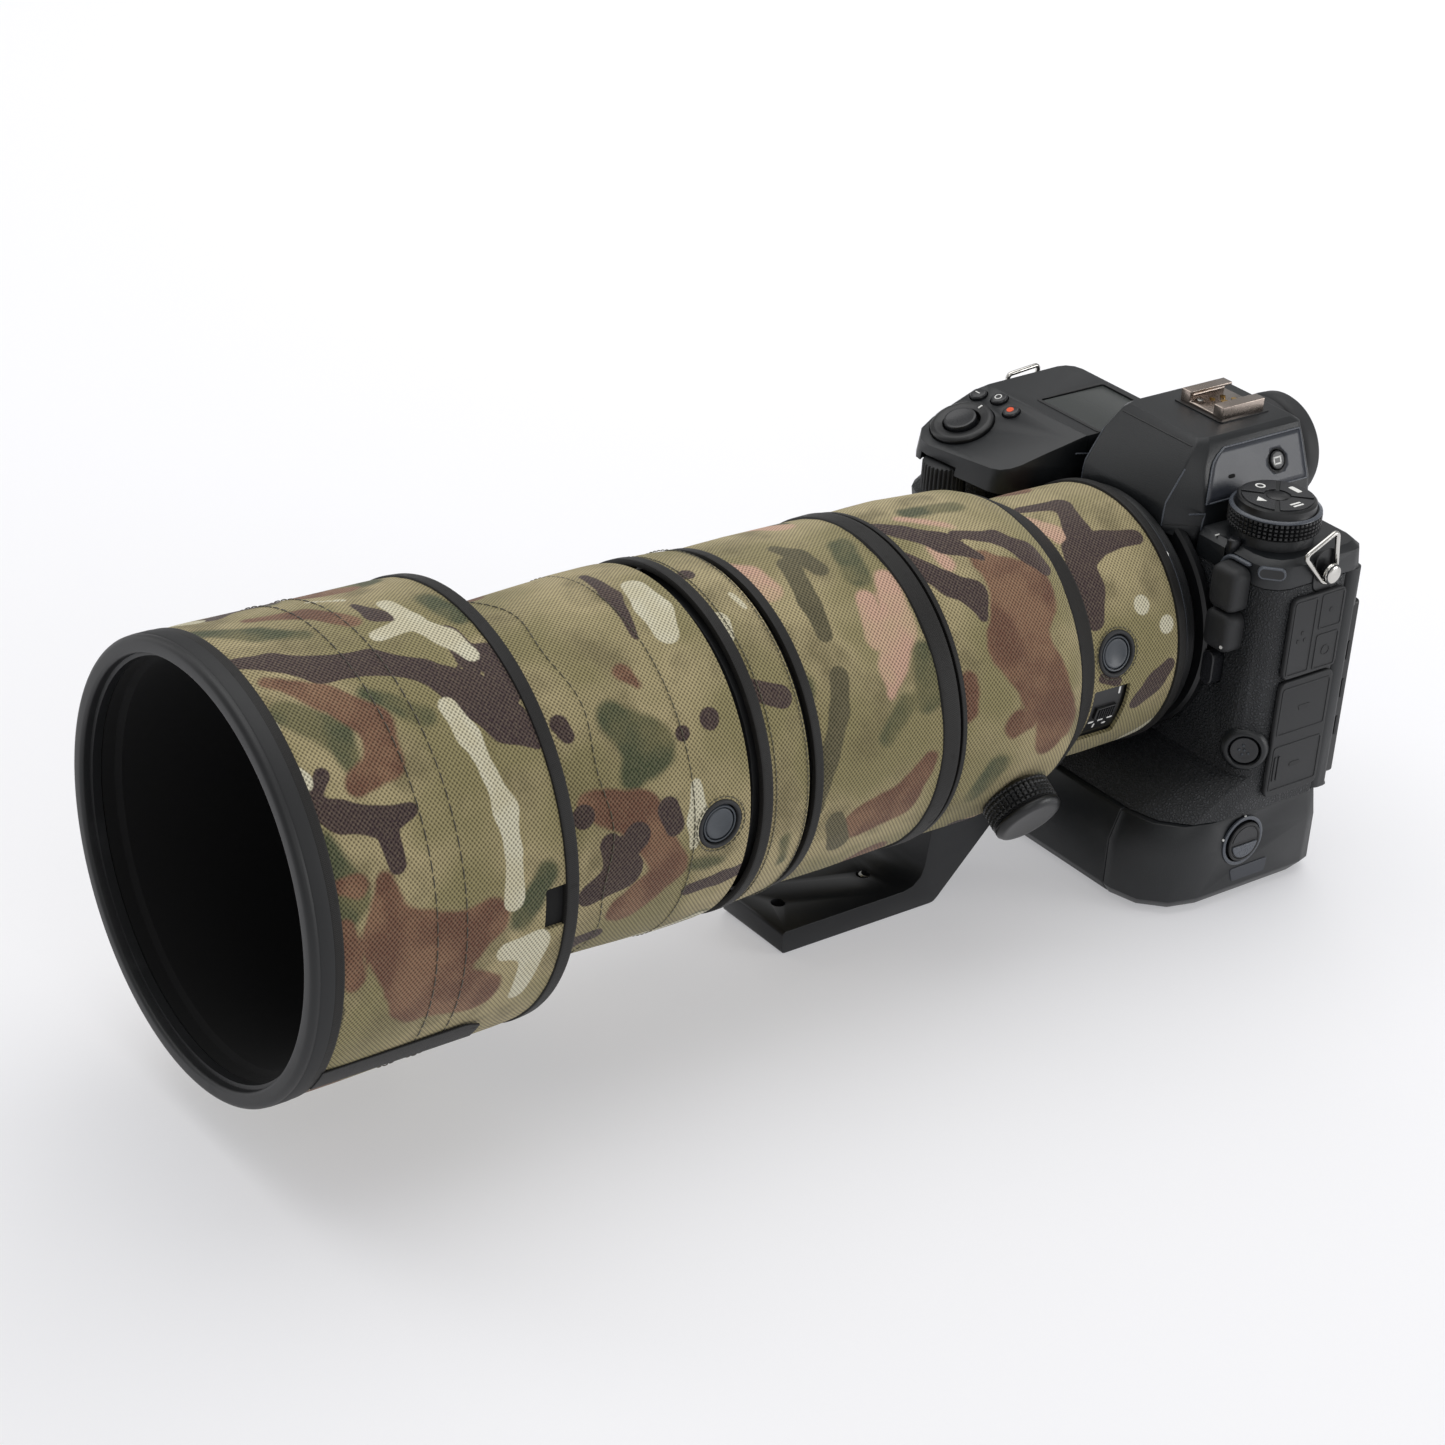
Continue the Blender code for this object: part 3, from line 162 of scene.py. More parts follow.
class Graph:
    """The node tree of one material."""

    def __init__(self, name: str) -> None:
        """Start a material with a Principled shader.

        Args:
            name: the material's name.
        """
        self.material = bpy.data.materials.new(name)
        self.material.use_nodes = True
        self.tree = self.material.node_tree
        self.tree.nodes.clear()
        self.surface = self.tree.nodes.new("ShaderNodeBsdfPrincipled")
        end = self.tree.nodes.new("ShaderNodeOutputMaterial")
        self.tree.links.new(self.surface.outputs[0], end.inputs[0])

    def node(
        self,
        kind: str,
        settings: Optional[dict[str, Any]] = None,
        inputs: Optional[dict[Union[int, str], Any]] = None,
        output: Union[int, str] = 0,
    ) -> Signal:
        """Add a node.

        Args:
            kind: the node's type.
            settings: its own settings, which are made first; "stops" fills a ramp.
            inputs: a value or a Signal for each named or numbered socket.
            output: the socket to return.

        Returns:
            The chosen output.
        """
        made = self.tree.nodes.new(kind)
        for key, value in (settings or {}).items():
            if key == "stops":
                ramp = made.color_ramp.elements
                while len(ramp) < len(value):
                    ramp.new(1.0)
                for stop, (place, colour) in zip(ramp, value):
                    stop.position = place
                    stop.color = colour
            else:
                setattr(made, key, value)
        for key, value in (inputs or {}).items():
            if isinstance(value, Signal):
                self.tree.links.new(value.socket, made.inputs[key])
            else:
                made.inputs[key].default_value = value
        return Signal(self, made.outputs[output])

    def constants(self, **values: Any) -> None:
        """Set numbers and colours that are the same all over the surface.

        Args:
            values: Principled sockets, with _ for a space.
        """
        for key, value in values.items():
            self.surface.inputs[key.replace("_", " ")].default_value = value

    def feed(self, socket: str, signal: Signal) -> None:
        """Link a signal to a Principled socket."""
        self.tree.links.new(signal.socket, self.surface.inputs[socket])

    def mix(self, factor: Any, first: Any, second: Any, blend: str = "MIX") -> Signal:
        """Mix two colours.

        Args:
            factor: how much of the second.
            first: colour or Signal.
            second: colour or Signal.
            blend: the blend type.

        Returns:
            The mixed colour.
        """
        settings = {"data_type": "RGBA", "blend_type": blend, "clamp_factor": True}
        return self.node("ShaderNodeMix", settings, {0: factor, 6: first, 7: second}, 2)

    def place(self, stretch: Spot = (1.0, 1.0, 1.0)) -> Signal:
        """Place on the object in millimetres.

        Args:
            stretch: scale along each axis.

        Returns:
            The vector.
        """
        spot = self.node("ShaderNodeTexCoord", output="Object")
        scale = tuple(s / MM for s in stretch)
        return self.node("ShaderNodeVectorMath", {"operation": "MULTIPLY"}, {0: spot, 1: scale})

    def cloudy(self, period: float, detail: float = 2.0, stretch: Spot = (1.0, 1.0, 1.0)) -> Signal:
        """Noise from 0 to 1.

        Args:
            period: size of a cloud in millimetres.
            detail: how many finer layers.
            stretch: scale along each axis.

        Returns:
            The noise.
        """
        return self.node(
            "ShaderNodeTexNoise", None, {"Vector": self.place(stretch), "Scale": 1 / period, "Detail": detail}
        )

    def relief(self, height: Signal, depth: float, strength: float = 1.0) -> None:
        """Feed a height to the normal.

        Args:
            height: from 0 to 1.
            depth: millimetres between 0 and 1.
            strength: share of the effect.
        """
        inputs = {"Height": height, "Distance": depth * MM, "Strength": strength}
        self.feed("Normal", self.node("ShaderNodeBump", None, inputs, "Normal"))

    def along(self) -> tuple[Signal, Signal]:
        """Distances in millimetres round and along a turned piece, from its UV map."""
        spot = self.node("ShaderNodeUVMap", {"uv_map": "UVMap"})
        parts = self.node("ShaderNodeSeparateXYZ", None, {0: spot})
        second = Signal(self, parts.socket.node.outputs[1])
        return parts * (1 / MM), second * (1 / MM)


# ---- finishes


@dataclass(frozen=True)
class Finish:
    """A surface finish that is made once as a material."""

    label: str

    def material(self) -> bpy.types.Material:
        """The material of this finish."""
        made = bpy.data.materials.get(self.label)
        if made is None:
            graph = Graph(self.label)
            self.paint(graph)
            made = graph.material
        return made

    def paint(self, graph: Graph) -> None:
        """Build the nodes; each finish has its own."""
        raise NotImplementedError


@dataclass(frozen=True)
class SatinPaint(Finish):
    """Fine crinkle paint on a moulded or cast shell, with handling marks."""

    tint: Colour = ink("1c1d1f")
    sheen: float = 0.46
    grain: float = 0.32
    depth: float = 0.02
    metal: float = 0.0

    def paint(self, graph: Graph) -> None:
        """Speckled bump, cloudy gloss and slightly paler rubbed areas."""
        speckle = graph.cloudy(self.grain, 3.0)
        patches = graph.cloudy(22.0, 4.0)
        rubbed = patches.step(0.48, 0.78)
        pale = toned(self.tint, 1.55, 0.004)
        tone = graph.mix(rubbed * 0.55, self.tint, pale)
        graph.feed("Base Color", graph.mix(speckle.step(0.35, 0.75) * 0.35, tone, pale))
        graph.feed("Roughness", speckle * 0.16 + patches * 0.14 + (self.sheen - 0.15))
        graph.constants(Metallic=self.metal, Specular_IOR_Level=0.5)
        graph.relief(speckle, self.depth)


@dataclass(frozen=True)
class PebbledSkin(Finish):
    """Moulded skin with rounded pebbles between fine creases."""

    tint: Colour = ink("1b1e22")
    cell: float = 1.1
    depth: float = 0.2

    def paint(self, graph: Graph) -> None:
        """Cells from Voronoi distances, softened by noise, with painted shade darkening the creases."""
        wander = graph.node(
            "ShaderNodeVectorMath",
            {"operation": "MULTIPLY_ADD"},
            {
                0: graph.node("ShaderNodeTexNoise", None, {"Vector": graph.place(), "Scale": 0.9}, "Color"),
                1: (0.9,) * 3, 2: graph.place()
            },
        )
        edge = graph.node(
            "ShaderNodeTexVoronoi", {"feature": "DISTANCE_TO_EDGE"}, {"Vector": wander, "Scale": 1 / self.cell}
        )
        pebble = edge.step(0.02, 0.34)
        worn = graph.cloudy(30.0, 3.0).step(0.45, 0.75)
        # painted shade: the creases between pebbles are mixed darker than the pebble tops
        crease = toned(self.tint, 0.45)
        crown = toned(self.tint, 1.5, 0.003)
        tone = graph.mix(pebble, crease, self.tint)
        graph.feed("Base Color", graph.mix(worn * pebble * 0.6, tone, crown))
        graph.feed("Roughness", 0.6 - pebble * 0.18 - worn * 0.06)
        graph.relief(pebble + graph.cloudy(0.25) * 0.12, self.depth)


@dataclass(frozen=True)
class SoftRubber(Finish):
    """Matt rubber with a fine sandy surface."""

    tint: Colour = ink("1d1e20")
    roughness: float = 0.62

    def paint(self, graph: Graph) -> None:
        """Sand-like bump with dusty patches."""
        sand = graph.cloudy(0.18, 2.0)
        dust = graph.cloudy(9.0, 5.0).step(0.5, 0.8)
        pale = toned(self.tint, 1.6, 0.005)
        graph.feed("Base Color", graph.mix(dust * 0.5, self.tint, pale))
        graph.feed("Roughness", sand * 0.12 + dust * 0.08 + (self.roughness - 0.08))
        graph.relief(sand, 0.012)


@dataclass(frozen=True)
class BareMetal(Finish):
    """Machined or polished metal with fine lines along one axis."""

    tint: Colour = ink("b9b6b0")
    roughness: float = 0.24
    lines: tuple[float, float, float] = (1.0, 0.04, 1.0)

    def paint(self, graph: Graph) -> None:
        """Long narrow noise as brushing, with small dull patches."""
        brushed = graph.cloudy(0.22, 3.0, self.lines)
        dull = graph.cloudy(5.0, 4.0).step(0.45, 0.8)
        dark = toned(self.tint, 0.62)
        graph.feed("Base Color", graph.mix(dull * 0.55 + brushed * 0.25, self.tint, dark))
        graph.feed("Roughness", brushed * 0.14 + dull * 0.12 + (self.roughness - 0.08))
        graph.constants(Metallic=1.0)
        graph.relief(brushed, 0.006)


class Ink(Enum):
    """Inks of the print, in printing order: strong and weak colour, raggedness, softness and cover."""

    GREEN = ("3b472c", "6c6844", 1.0, 1.4, 0.95)
    BROWN = ("6a4433", "86624a", 1.0, 0.9, 1.0)
    BLUSH = ("cda48f", "c6a98a", 0.7, 1.0, 0.97)
    UMBER = ("565138", "605a40", 0.4, 0.45, 1.0)
    DARK = ("3a282c", "402e2f", 0.3, 0.3, 1.0)
    CREAM = ("d6d1b8", "cfc8ab", 0.3, 0.3, 1.0)

    def __init__(self, strong: str, weak: str, fray: float, blur: float, cover: float) -> None:
        """Keep the parts of the value by name."""
        self.strong = strong
        self.weak = weak
        self.fray = fray
        self.blur = blur
        self.cover = cover


@dataclass(frozen=True)
class Camouflage(Finish):
    """Printed canvas: layered inks from the piece's own print fields, over a coarse plain weave."""

    pitch: float = 1.55

    def paint(self, graph: Graph) -> None:
        """Inks first, then the weave: painted shade darkens the gaps between threads, a slight painted highlight
        pales the thread crowns, and a bump lifts the threads.
        """
        around, length = graph.along()
        drift = graph.cloudy(34.0, 2.0)
        mottle = graph.cloudy(17.0, 3.0)
        ragged = (graph.cloudy(7.0, 2.0) - 0.5) * 2.4
        tone = graph.mix(drift.step(0.38, 0.62), ink("8a8158"), ink("b0a27a"))
        tone = graph.mix(mottle.step(0.46, 0.74) * 0.75, tone, ink("6d6442"))
        for layer in Ink:
            stain = graph.node("ShaderNodeAttribute", {"attribute_name": layer.name.lower()}, None, "Fac")
            cover = (stain + ragged * layer.fray).step(layer.blur, -layer.blur)
            strong, weak = ink(layer.strong), ink(layer.weak)
            tinted = graph.mix(graph.cloudy(15.0 + layer.fray, 2.0).step(0.4, 0.66), strong, weak)
            tone = graph.mix(cover * layer.cover, tone, tinted)
        wave = TURN / self.pitch
        warp = ((around + length * 0.12) * wave).sine()
        weft = ((length - around * 0.12) * wave * 1.12).sine()
        thread = warp * weft * 0.5 + 0.5
        slub = graph.cloudy(0.7, 2.0)
        # gap is high on the threads and low between them; its low parts give the painted shade below, and it also
        # sets roughness
        gap = (thread * 0.85 + slub * 0.15).step(0.1, 0.72)
        # pile: pale slubs of the yarn, plus a slight painted highlight on the thread crowns
        pile = (slub - 0.5) * 0.35 + gap * 0.1
        tone = graph.mix(pile, tone, ink("b3a584"))
        # painted shade: the gaps between threads are mixed towards black
        graph.feed("Base Color", graph.mix(gap * 0.68 + 0.32, (0.0, 0.0, 0.0, 1.0), tone))
        graph.feed("Roughness", 0.92 - gap * 0.12)
        graph.constants(Sheen_Weight=0.12, Sheen_Roughness=0.5, Specular_IOR_Level=0.3)
        graph.relief(thread + slub * 0.25, 0.2)


@dataclass(frozen=True)
class WovenTape(Finish):
    """Satin woven tape that binds the cut edges."""

    tint: Colour = ink("171615")

    def paint(self, graph: Graph) -> None:
        """Fine ribs across the tape with a soft shine; the rib crowns are painted paler as a highlight."""
        around, length = graph.along()
        rib = (around * (TURN / 0.62)).sine() * (length * (TURN / 0.9)).sine() * 0.5 + 0.5
        lint = graph.cloudy(3.0, 4.0).step(0.55, 0.85)
        # painted highlight: the rib crowns are mixed paler; the lint patches are paler fluff
        graph.feed("Base Color", graph.mix(rib * 0.4 + lint * 0.3, self.tint, ink("1f1d1b")))
        graph.feed("Roughness", 0.62 + lint * 0.2 - rib * 0.08)
        graph.constants(Sheen_Weight=0.04, Sheen_Roughness=0.4, Specular_IOR_Level=0.35)
        graph.relief(rib, 0.05)


@dataclass(frozen=True)
class CoatedGlass(Finish):
    """Dark glass with an even coating and faint dust."""

    tint: Colour = ink("0a0c12")
    glow: Colour = ink("1d1730")

    def paint(self, graph: Graph) -> None:
        """Coating tint that drifts over the surface, and a clear coat on top."""
        drift = graph.cloudy(26.0, 1.0)
        dust = graph.cloudy(1.4, 5.0).step(0.68, 0.8)
        graph.feed("Base Color", graph.mix(drift.step(0.35, 0.7), self.tint, self.glow))
        graph.feed("Roughness", dust * 0.18 + 0.04)
        graph.constants(Specular_IOR_Level=0.8, Coat_Roughness=0.02)
        graph.feed("Coat Weight", 1.0 - dust * 0.5)


@dataclass(frozen=True)
class DisplayPanel(Finish):
    """Unlit grey display behind a clear window."""

    tint: Colour = ink("3a3d3c")

    def paint(self, graph: Graph) -> None:
        """A faint grid of cells under a glossy window with a few wipe marks."""
        wipe = graph.cloudy(7.0, 3.0, (1.0, 0.3, 1.0))
        cells = graph.node(
            "ShaderNodeTexVoronoi", {"distance": "CHEBYCHEV"},
            {"Vector": graph.place(), "Scale": 2.2, "Randomness": 0.0}
        )
        graph.feed("Base Color", graph.mix(cells.step(0.3, 0.5) * 0.18, self.tint, ink("1d1f20")))
        graph.feed("Roughness", wipe * 0.1 + 0.2)
        graph.constants(Specular_IOR_Level=0.35)


@dataclass(frozen=True)
class PrintedMark(Finish):
    """Filled marking paint in a shallow engraving."""

    tint: Colour = ink("d9d9d6")

    def paint(self, graph: Graph) -> None:
        """Slight wear where the paint thins."""
        thin = graph.cloudy(0.8, 4.0).step(0.5, 0.85)
        dark = toned(self.tint, 0.6)
        graph.feed("Base Color", graph.mix(thin * 0.5, self.tint, dark))
        graph.feed("Roughness", 0.5 + thin * 0.2)
        graph.relief(thin, 0.01)


@dataclass(frozen=True)
class SewingThread(Finish):
    """Twisted polyester thread."""

    tint: Colour = ink("575238")

    def paint(self, graph: Graph) -> None:
        """Twist lines over a soft sheen."""
        twist = graph.cloudy(0.22, 1.0, (1.0, 3.0, 1.0))
        dark = toned(self.tint, 0.4)
        graph.feed("Base Color", graph.mix(twist, dark, self.tint))
        graph.feed("Roughness", 0.6 + twist * 0.2)
        graph.constants(Sheen_Weight=0.3)
        graph.relief(twist, 0.05)


class Look:
    """Every finish of this camera, by what it covers."""

    shell = SatinPaint("shell_paint", ink("0e1114"), 0.41, 0.42, 0.045)
    # painted highlight: pale grey paint for thin lines and bevels where the shell's edges catch the light
    edge = SatinPaint("bright_edge_paint", ink("474b52"), 0.28, 0.5, 0.01)
    panel = SatinPaint("panel_paint", ink("2d3037"), 0.36, 0.45, 0.03)
    trim = SatinPaint("trim_paint", ink("0e0f11"), 0.36, 0.22, 0.01)
    skin = PebbledSkin("pebbled_skin")
    rubber = SoftRubber("soft_rubber_black")
    rim_rubber = SoftRubber("rim_rubber_grey", ink("131416"), 0.5)
    edge_rubber = SoftRubber("edge_rubber_black", ink("121315"), 0.6)
    flock = SoftRubber("hood_flocking", ink("010102"), 0.95)
    barrel = SatinPaint("barrel_paint", ink("191a1b"), 0.4, 0.25, 0.012)
    anodised = SatinPaint("anodised_black", ink("1e1f21"), 0.34, 0.2, 0.008, 0.35)
    chrome = BareMetal("ring_chrome", ink("cfcdc8"), 0.14)
    bayonet = BareMetal("bayonet_chrome", ink("a9a8a4"), 0.22, (1.0, 0.05, 1.0))
    shoe = BareMetal("shoe_bronze", ink("a89c93"), 0.24, (1.0, 0.06, 1.0))
    brass = BareMetal("contact_gold", ink("c9a45c"), 0.22)
    canvas = Camouflage("camouflage_canvas")
    tape = WovenTape("binding_tape", ink("0e0d0c"))
    patch = WovenTape("patch_cloth", ink("101012"))
    glass = CoatedGlass("front_glass")
    eye_glass = CoatedGlass("eyepiece_glass", ink("07090c"), ink("10242a"))
    screen = CoatedGlass("screen_glass", ink("0b0c0e"), ink("121418"))
    display = DisplayPanel("top_display_window")
    button = SatinPaint("button_gloss", ink("1a1b1e"), 0.3, 0.3, 0.006)
    slate = SatinPaint("button_slate", ink("34393f"), 0.38, 0.3, 0.006)
    white = PrintedMark("white_mark")
    orange = PrintedMark("orange_mark", ink("e0501e"))
    thread = SewingThread("seam_thread")
    dark_thread = SewingThread("dark_thread", ink("464030"))
    card = SatinPaint("sealed_parts", ink("26282b"), 0.5)


# ---- forms


def box_mm(node: str) -> tuple[Vector, Vector]:
    """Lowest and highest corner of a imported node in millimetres."""
    low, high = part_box(node)
    return low / MM, high / MM


def middle(node: str) -> Vector:
    """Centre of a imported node's box in millimetres."""
    low, high = box_mm(node)
    return (low + high) / 2


def seat(origin: Spot, outward: Spot, along: Spot = (0, 1, 0)) -> Matrix:
    """Frame that stands on a surface.

    Args:
        origin: its place in millimetres.
        outward: direction of local Z.
        along: rough direction of local X.

    Returns:
        The frame.
    """
    up = Vector(outward).normalized()
    side = Vector(along)
    side = (side - up * side.dot(up)).normalized()
    turn = Matrix((side, up.cross(side), up)).transposed().to_4x4()
    return Matrix.Translation(Vector(origin)) @ turn


def rounded(width: float, height: float, radius: float, steps: int = 5) -> list[Point]:
    """Outline of a rectangle with round corners.

    Args:
        width: size along X.
        height: size along Y.
        radius: corner radius.
        steps: segments in each corner.

    Returns:
        Points anticlockwise.
    """
    points = []
    for corner in range(4):
        cx = (width / 2 - radius) * (1 if corner in (0, 3) else -1)
        cy = (height / 2 - radius) * (1 if corner in (0, 1) else -1)
        for k in range(steps + 1):
            a = (corner + k / steps) * pi / 2
            points.append((cx + radius * cos(a), cy + radius * sin(a)))
    return points


def filleted(bends: Sequence[tuple[float, float, float]], steps: int = 8) -> list[Point]:
    """Round the corners of an outline.

    Args:
        bends: (x, y, radius) of each corner.
        steps: segments in each corner.

    Returns:
        Points of the outline.
    """
    points = []
    for k, (x, y, radius) in enumerate(bends):
        here = Vector((x, y))
        before = (Vector(bends[k - 1][:2]) - here).normalized()
        after = (Vector(bends[(k + 1) % len(bends)][:2]) - here).normalized()
        half = before.angle(after) / 2
        centre = here + (before + after).normalized() * (radius / sin(half))
        start = here + before * (radius / tan(half)) - centre
        finish = here + after * (radius / tan(half)) - centre
        sweep = start.angle_signed(finish)
        for step in range(steps + 1):
            a = -sweep * step / steps
            turned = Vector((start.x * cos(a) - start.y * sin(a), start.x * sin(a) + start.y * cos(a)))
            points.append(tuple(centre + turned))
    return points


def circle(radius: float, count: int = 40, start: float = 0.0, sweep: float = TURN) -> list[Point]:
    """Points on a circle or arc."""
    open_end = sweep < TURN - 1e-6
    turns = [start + sweep * k / count for k in range(count + open_end)]
    return [(radius * cos(a), radius * sin(a)) for a in turns]


def knurled(
    radius: float, count: int, band: Point, start: float, pitch: float, depth: float
) -> Swell:
    """Square studs round a turned grip.

    Args:
        radius: of the grip.
        count: studs round it.
        band: lower and upper height of the knurl.
        start: height where the first row starts.
        pitch: height of a row.
        depth: of the valleys.

    Returns:
        Extra radius at an angle, radius and height.
    """

    def stud(angle: float, r: float, z: float) -> float:
        """Height of the studs and valleys."""
        if r < radius - 0.3 or not band[0] < z < band[1]:
            return 0.0
        u, v = angle * count / TURN, (z - start) / pitch
        first, second = 1 - abs(u % 1 - 0.5) * 2, 1 - abs(v % 1 - 0.5) * 2
        return -depth + (depth + 0.1) * min(1.0, 2.2 * min(first, second))

    return stud


class Form:
    """A mesh shaped in millimetres in its own frame, then placed, dressed and set riding as one piece."""

    def __init__(self) -> None:
        """Start empty."""
        self.bm = bmesh.new()

    def dot(self, spot: Spot) -> bmesh.types.BMVert:
        """Add a vertex."""
        return self.bm.verts.new(spot)

    def loft(self, rings: Sequence[Sequence[bmesh.types.BMVert]], closed: bool = False) -> "Form":
        """Join rings of vertices with faces.

        Args:
            rings: loops with the same number of vertices.
            closed: whether the last ring joins the first; otherwise both ends get a cap.

        Returns:
            The form.
        """
        for low, high in list(zip(rings, rings[1:])) + ([(rings[-1], rings[0])] if closed else []):
            for k in range(len(low)):
                n = (k + 1) % len(low)
                self.bm.faces.new((low[k], low[n], high[n], high[k]))
        if not closed:
            self.bm.faces.new(list(reversed(rings[0])))
            self.bm.faces.new(rings[-1])
        return self

    def lathe(
        self,
        profile: Outline,
        segments: int = 96,
        closed: bool = False,
        swell: Optional[Swell] = None,
    ) -> "Form":
        """Turn a profile round local Z.

        Args:
            profile: (radius, height) points; open ends on the axis are closed there.
            segments: divisions round.
            closed: whether the profile is a loop.
            swell: extra radius at an angle, radius and height.

        Returns:
            The form.
        """
        rings = []
        for radius, height in profile:
            if radius < 1e-6:
                rings.append([self.dot((0, 0, height))])
                continue
            ring = []
            for k in range(segments):
                a = TURN * k / segments
                r = radius + (swell(a, radius, height) if swell else 0.0)
                ring.append(self.dot((r * cos(a), r * sin(a), height)))
            rings.append(ring)
        pairs = list(zip(rings, rings[1:])) + ([(rings[-1], rings[0])] if closed else [])
        for low, high in pairs:
            for k in range(segments):
                n = (k + 1) % segments
                if len(low) == 1 and len(high) == 1:
                    continue
                if len(low) == 1:
                    self.bm.faces.new((low[0], high[n], high[k]))
                elif len(high) == 1:
                    self.bm.faces.new((low[k], low[n], high[0]))
                else:
                    self.bm.faces.new((low[k], low[n], high[n], high[k]))
        return self

    def prism(self, outline: Outline, low: float, high: float, inset: float = 0.0) -> "Form":
        """Raise an outline from one height to another.

        Args:
            outline: points anticlockwise.
            low: bottom height.
            high: top height.
            inset: how far the top edge steps in, over the same height.

        Returns:
            The form.
        """
        centre = Vector((sum(p[0] for p in outline), sum(p[1] for p in outline))) / len(outline)
        levels = [(low, 0.0), (high - inset, 0.0), (high, inset)] if inset else [(low, 0.0), (high, 0.0)]
        rings = []
        for height, pull in levels:
            ring = []
            for x, y in outline:
                away = Vector((x, y)) - centre
                spot = Vector((x, y)) - away.normalized() * pull if away.length else Vector((x, y))
                ring.append(self.dot((spot.x, spot.y, height)))
            rings.append(ring)
        return self.loft(rings)

    def bar(self, path: Sequence[Spot], radius: float, sides: int = 10, closed: bool = False) -> "Form":
        """Sweep a round bar along a path.

        Args:
            path: centre points.
            radius: of the bar.
            sides: divisions round it.
            closed: whether the path is a loop.

        Returns:
            The form.
        """
        spots = [Vector(p) for p in path]
        rings = []
        normal = None
        for i, spot in enumerate(spots):
            before = spots[i - 1] if closed or i else spot
            after = spots[(i + 1) % len(spots)] if closed or i + 1 < len(spots) else spot
            way = (after - before).normalized()
            if normal is None:
                normal = way.orthogonal().normalized()
            normal = (normal - way * normal.dot(way)).normalized()
            side = way.cross(normal)
            turns = [TURN * k / sides for k in range(sides)]
            rings.append([self.dot(spot + (normal * cos(a) + side * sin(a)) * radius) for a in turns])
        return self.loft(rings, closed)

    def moved(self, shift: Matrix, copies: int = 1) -> "Form":
        """Repeat everything so far with a step.

        Args:
            shift: the step from one copy to the next.
            copies: how many there are in all.

        Returns:
            The form.
        """
        first = list(self.bm.verts) + list(self.bm.edges) + list(self.bm.faces)
        step = shift.copy()
        for _ in range(copies - 1):
            made = bmesh.ops.duplicate(self.bm, geom=first)
            new = [v for v in made["geom"] if isinstance(v, bmesh.types.BMVert)]
            bmesh.ops.transform(self.bm, matrix=step, verts=new)
            step = step @ shift
        return self

    def place(self, frame_mm: Matrix) -> "Form":
        """Move everything so far."""
        self.bm.transform(frame_mm)
        return self

    def linked(self, name: str) -> Thing:
        """Turn the form into an object of the scene, in metres.

        Args:
            name: the object's name.

        Returns:
            The object.
        """
        bmesh.ops.recalc_face_normals(self.bm, faces=self.bm.faces)
        self.bm.transform(Matrix.Scale(MM, 4))
        mesh = bpy.data.meshes.new(name)
        self.bm.to_mesh(mesh)
        self.bm.free()
        made = bpy.data.objects.new(name, mesh)
        bpy.context.scene.collection.objects.link(made)
        return made

    def piece(
        self,
        name: str,
        finish: Finish,
        body: str,
        seat_mm: Optional[Matrix] = None,
        bevel: float = 0.0,
        smooth: float = 38.0,
        slot: str = "",
    ) -> Thing:
        """Make the object.

        Args:
            name: the piece's name.
            finish: its finish.
            body: the body it rides on.
            seat_mm: its frame.
            bevel: width of its edge rounding.
            smooth: largest angle that is shaded smooth.
            slot: not used.

        Returns:
            The object.
        """
        if seat_mm is not None:
            self.bm.transform(seat_mm)
        made = self.linked(name)
        made.data.materials.append(finish.material())
        round_edges(made, bevel, smooth)
        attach(made, body)
        LOG.info("%s rides on %s in %s", name, body, finish.label)
        return made


def round_edges(made: Thing, bevel: float, smooth: float = 38.0, segments: int = 3) -> None:
    """Shade an object smooth and round its hard edges.

    Args:
        made: the object.
        bevel: width of the rounding in millimetres, or 0 for none.
        smooth: largest angle that is shaded smooth.
        segments: steps of the rounding.
    """
    made.data.shade_smooth()
    made.data.set_sharp_from_angle(angle=radians(smooth))
    if bevel:
        rounding = made.modifiers.new("rounding", "BEVEL")
        rounding.width = bevel * MM
        rounding.segments = segments
        rounding.limit_method = "ANGLE"
        rounding.angle_limit = radians(smooth)
        rounding.harden_normals = True


def dress(node: str, finish: Finish, bevel: float = 0.3, smooth: float = 32.0) -> None:
    """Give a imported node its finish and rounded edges.

    Args:
        node: the node's name.
        finish: its finish.
        bevel: width of the rounding in millimetres.
        smooth: largest angle that is shaded smooth.
    """
    made = frame["nodes"][node]
    for slot in made.material_slots:
        slot.material = finish.material()
    if bevel:
        weld = made.modifiers.new("weld", "WELD")
        weld.merge_threshold = 0.002 * MM
        flats = made.modifiers.new("flats", "DECIMATE")
        flats.decimate_type = "DISSOLVE"
        flats.angle_limit = radians(1.0)
    round_edges(made, bevel, smooth, 2)
    LOG.info("%s is dressed in %s", node, finish.label)


def thicken(made: Thing, thickness: float) -> None:
    """Give a sheet of faces a thickness in millimetres, half on each side."""
    skin = made.modifiers.new("skin", "SOLIDIFY")
    skin.thickness = thickness * MM
    skin.offset = 0.0


def upright(x: float, y: float, z: float) -> Matrix:
    """Seat that faces up, with local X to the port side."""
    return seat((x, y, z), (0, 0, 1), (1, 0, 0))


def portward(x: float, y: float, z: float) -> Matrix:
    """Seat that faces the port side, with local X to the rear."""
    return seat((x, y, z), (1, 0, 0), (0, 1, 0))


def rearward(x: float, y: float, z: float) -> Matrix:
    """Seat that faces the rear, with local X to the port side."""
    return seat((x, y, z), (0, 1, 0), (1, 0, 0))


def stand_for(made: Thing, *nodes: str) -> Thing:
    """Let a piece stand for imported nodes, and return it."""
    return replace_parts(made, *nodes)


